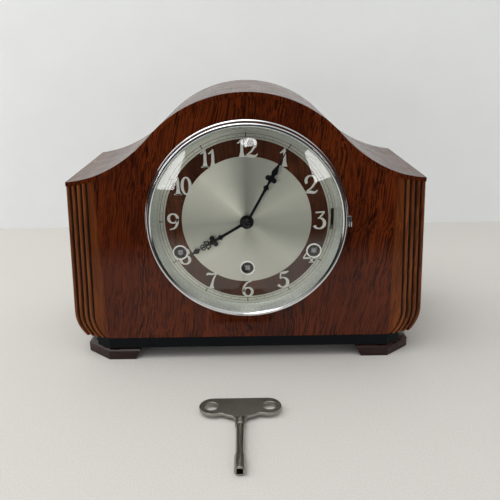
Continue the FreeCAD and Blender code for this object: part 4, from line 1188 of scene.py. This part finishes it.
def key_shaft(material, end_y, neck_y, place, axis_z):
    """Round shaft with a collar at each end and a square socket."""
    count = shaft_segments
    profile = [(radius * mm, end_y + run * mm) for radius, run in shaft_foot]
    profile += [(radius * mm, neck_y + run * mm) for radius, run in shaft_neck]
    points = turned(profile, count, Vector((place, 0, axis_z)))
    faces = bands(len(profile), count)
    base = len(points)
    for depth in (end_y, end_y + socket_depth):
        for x, _, z in ring_points(1.0, count, 0, Vector((0, 0, 0))):
            reach = socket_half / max(abs(x), abs(z))
            points.append((place + x * reach, depth, axis_z + z * reach))
    for step in range(count):
        after = (step + 1) % count
        faces.append((after, step, base + step, base + after))
        faces.append((base + after, base + step, base + count + step, base + count + after))
    faces.append(tuple(base + count + step for step in range(count)))
    return carried(from_mesh("key_shaft", points, faces, material), "key")


def winding_key(material):
    """Flat wings with two holes, on their round shaft."""
    low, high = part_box("winding_key")
    place = (low.x + high.x) / 2
    axis_z = high.z - shaft_radius
    under, over = axis_z - key_half_thickness, axis_z + key_half_thickness
    hole_y = high.y - key_wing_radius
    spots = (place - key_hole_place, place + key_hole_place)
    holes = [circle(key_hole_radius, x, hole_y, key_hole_segments) for x in spots]
    outline = key_outline((high.x - low.x) / 2, high.y, place)
    wings = pierced_plate("key_wings", outline, holes, over, under, material, key_edge)
    wings.data.transform(Matrix.Rotation(-pi / 2, 4, "X"))
    lowest = min(v.co.z for v in wings.data.vertices)
    wings.data.transform(Matrix.Translation((0, 0, under - lowest)))
    key_shaft(material, low.y, high.y - key_neck_end, place, axis_z)
    return carried(wings, "key", ("winding_key",))


# Small fasteners


def screw_head(centre, radius, rise, turn):
    """Points and faces of a slotted round head that faces the back, and its slot's face: a quad just above
    the top that carries the slot's dark as painted shade.
    """
    points = []
    for reach, share in screw_profile:
        for x, z in circle(radius * reach, centre.x, centre.z, screw_segments, turn):
            points.append((x, centre.y + rise * share, z))
    base = len(points)
    faces = bands(len(screw_profile), screw_segments) + [tuple(range(base - screw_segments, base))]
    along = Vector((cos(turn), 0, sin(turn))) * radius * screw_slot_reach
    across = Vector((-sin(turn), 0, cos(turn))) * radius * screw_slot_half
    top = centre + Vector((0, rise * screw_slot_lift, 0))
    points += [top + along * end + across * side for end, side in ((-1, -1), (1, -1), (1, 1), (-1, 1))]
    return points, faces, tuple(range(base, base + 4))


def screws(name, body, places, size, metal_name, materials):
    """Several slotted heads as one piece; each slot's face takes the dark painted shade."""
    points, faces, slots = [], [], []
    for index, place in enumerate(places):
        turn = first_screw_turn + index * next_screw_turn
        head_points, head_faces, slot = screw_head(Vector(place), *size, turn)
        base = len(points)
        points += head_points
        faces += [tuple(base + i for i in face) for face in head_faces + [slot]]
        slots.append(len(faces) - 1)
    # The slot faces take the groove material: dark painted shade where the slot would be in shadow
    heads = from_mesh(name, points, faces, materials[metal_name], (materials["groove"], slots))
    return carried(heads, body)


def door_screws(materials):
    """Screws of the back door's hinges and of its turn button."""
    face = back + leaf_thickness
    for name, body, x in (
        ("door_leaf_screws", "door", door_leaf_place), ("case_leaf_screws", "case", case_leaf_place)
    ):
        screws(name, body, [(x, face, z) for z in leaf_screw_heights], leaf_screw, "hinge_brass", materials)
    low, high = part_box("turn_button")
    place = ((low.x + high.x) / 2, high.y, dial_height)
    screws("button_screw", "button", [place], button_screw, "hinge_brass", materials)


def works_screws(materials):
    """Screws of the works' back plate and of the brackets that hold it."""
    low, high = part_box("pillars")
    plate_face = high.y + sheet_metal
    bracket_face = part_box("front_panel")[1].y + sheet_metal
    plate_places, bracket_places = [], []
    for side in (-1, 1):
        plate_places.append((side * low_plate_screw_place, plate_face, low.z + pillar_inset))
        plate_places.append((side * high_plate_screw_place, plate_face, high.z - pillar_inset))
        for rise in bracket_screw_rises:
            bracket_places.append((side * bracket_screw_place, bracket_face, dial_height + rise))
    screws("plate_screws", "case", plate_places, plate_screw, "works_steel", materials)
    screws("bracket_screws", "case", bracket_places, bracket_screw, "works_steel", materials)


def leather_pad(number, material):
    """Pad on the striking face of a chime hammer's head."""
    low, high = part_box(f"hammer_{number}")
    middle = (low.y + high.y) / 2
    start = Vector((low.x + pad_inset, middle - pad_half, low.z - pad_thickness))
    end = Vector((low.x + pad_inset + 2 * pad_half, middle + pad_half, low.z))
    pad = from_mesh(f"leather_pad_{number}", *slab(start, end, pad_edge), material)
    return carried(pad, f"hammer{number}")


# Stage


def wall_material():
    """Pale plaster that is only there from the side of the table."""
    material, tree, shader = new_material("pale_wall")
    plaster = noise(tree, 26, 6)
    coloured(shader, plaster, (0.35, (0.872, 0.885, 0.880)), (0.65, (0.888, 0.901, 0.896)))
    tune(shader, Roughness=0.9, Specular_IOR_Level=0.1)
    either(add(tree, "NewGeometry"), shader, add(tree, "BsdfTransparent"), "Backfacing")
    return material


def cloth_material():
    """Pale cloth, darker for reflections far in front of the clock."""
    material, tree, shader = new_material("pale_cloth")
    weave = noise(tree, 900, 3, 0.6)
    cloth = ramp(weave, ((0.3, (0.640, 0.612, 0.572)), (0.7, (0.725, 0.700, 0.660))))
    away = add(tree, "MapRange", interpolation_type="SMOOTHSTEP")
    tune(away, From_Min=front - dark_table_start, From_Max=front - dark_table_end)
    put(split(add(tree, "TexCoord"), "Object"), away, 0, "Y")
    seen = add(tree, "Math", operation="MULTIPLY")
    put(away, seen)
    put(add(tree, "LightPath"), seen, 1, "Is Glossy Ray")
    put(mix(tree, seen, cloth, (0.035, 0.034, 0.033)), shader, "Base Color")
    tune(shader, Roughness=0.9, Specular_IOR_Level=0.1)
    bumped(shader, weave, 0.25, weave_depth)
    return material


def stage_sheets():
    """Pale table, and behind it a pale wall that faces the table."""
    wall_y = front + wall_distance
    far = stage_reach
    table = [(-far, front - far, 0), (far, front - far, 0), (far, front + far, 0), (-far, front + far, 0)]
    wall = [(-far, wall_y, 0), (far, wall_y, 0), (far, wall_y, far), (-far, wall_y, far)]
    from_mesh("table", table, [(0, 1, 2, 3)], cloth_material())
    from_mesh("wall", wall, [(0, 1, 2, 3)], wall_material())


def world():
    """Soft even light, dark low in front where reflections look into the room."""
    room = bpy.data.worlds.new("room")
    room.use_nodes = True
    bpy.context.scene.world = room
    tree = room.node_tree
    upward = add(tree, "MapRange", interpolation_type="SMOOTHSTEP", From_Min=0.25, From_Max=0.85)
    tune(upward, To_Min=0.03, To_Max=0.70)
    put(split(add(tree, "TexCoord"), "Generated"), upward, 0, "Z")
    path = add(tree, "LightPath")
    mirrored = mix(tree, path.outputs["Is Glossy Ray"], (0.56, 0.57, 0.58), upward)
    seen = mix(tree, path.outputs["Is Camera Ray"], mirrored, (0.80, 0.81, 0.80))
    put(seen, tree.nodes["Background"], "Color")


def area_light(name, place, target, size, power, lean=0.0):
    """Lamp aimed at a target and turned about its aim, that the camera doesn't see."""
    data = bpy.data.lights.new(name, "AREA")
    data.shape = "RECTANGLE"
    data.size, data.size_y = size
    data.energy = power
    lamp = linked(name, data)
    lamp.location = place
    lamp.visible_camera = False
    lamp.rotation_mode = "QUATERNION"
    aimed = (target - place).to_track_quat("-Z", "Y")
    lamp.rotation_quaternion = aimed @ Quaternion((0, 0, 1), radians(lean))
    return data


def lights():
    """Two windows and a small lamp in front, and wide soft lamps above and beside."""
    middle = Vector((0, front, dial_height))
    for name, ((x, z), (azimuth, elevation), size, power, lean) in glass_lamps.items():
        turn, rise = radians(azimuth), radians(elevation)
        run = Vector((sin(turn) * cos(rise), -cos(turn) * cos(rise), sin(rise)))
        lamp = area_light(name, middle + Vector((x, 0, z)) + run * lamp_distance, middle, size, power, lean)
        if name == "lamp_front":
            lamp.shape = "ELLIPSE"
    for name, (place, size, power) in soft_lamps.items():
        area_light(name, middle + Vector(place), middle, size, power)


def camera():
    """The photograph's camera."""
    yaw, pitch, roll = (radians(a) for a in (camera_yaw, camera_pitch, camera_roll))
    ahead = Vector((sin(yaw) * cos(pitch), cos(yaw) * cos(pitch), -sin(pitch)))
    level = Vector((cos(yaw), -sin(yaw), 0))
    upward = level.cross(ahead)
    right = level * cos(roll) + upward * sin(roll)
    top = upward * cos(roll) - level * sin(roll)
    data = bpy.data.cameras.new("camera")
    data.sensor_width = sensor_width
    data.lens = focal_pixels / frame_pixels * sensor_width
    data.clip_start = camera_clip
    thing = linked("camera", data)
    turn = Matrix((right, top, -ahead)).transposed().to_4x4()
    thing.matrix_world = Matrix.Translation((camera_side, front - camera_distance, camera_height)) @ turn
    bpy.context.scene.camera = thing


# Scene


def dress_nodes(materials):
    """Each carried-over solid takes the material of its slot; the top sheet's front edge is veneered."""
    for sub in frame["record"]["subparts"]:
        slots = frame["nodes"][sub["node"]].data.materials
        slots.clear()
        slots.append(materials[sub["material_slot"]])
    sheet = frame["nodes"]["top_sheet"].data
    sheet.materials.append(materials["panel_veneer"])
    for polygon in sheet.polygons:
        if polygon.normal.y < facing_front:
            polygon.material_index = 1


def build():
    bpy.context.scene.view_settings.view_transform = "Standard"
    materials = {**woods(), **metals_and_paints()}
    dress_nodes(materials)
    for side in (-1, 1):
        reeded_moulding(side, materials)
    for node, width in edge_rounding.items():
        soften(node, width * mm)
    centre_disc(materials["dial_silver"])
    hour_numerals(materials["numeral"])
    minute_track(materials["ink"])
    grommets(materials["grommet"])
    hour_hand(materials["hand_black"])
    minute_hand(materials["hand_black"])
    hand_nut(materials["hand_black"])
    bezel(materials)
    domed_glass(materials["crystal"])
    door_screws(materials)
    works_screws(materials)
    for number in range(1, hammer_count + 1):
        leather_pad(number, materials["leather"])
    winding_key(materials["key_steel"])
    stage_sheets()
    world()
    lights()
    camera()


build()
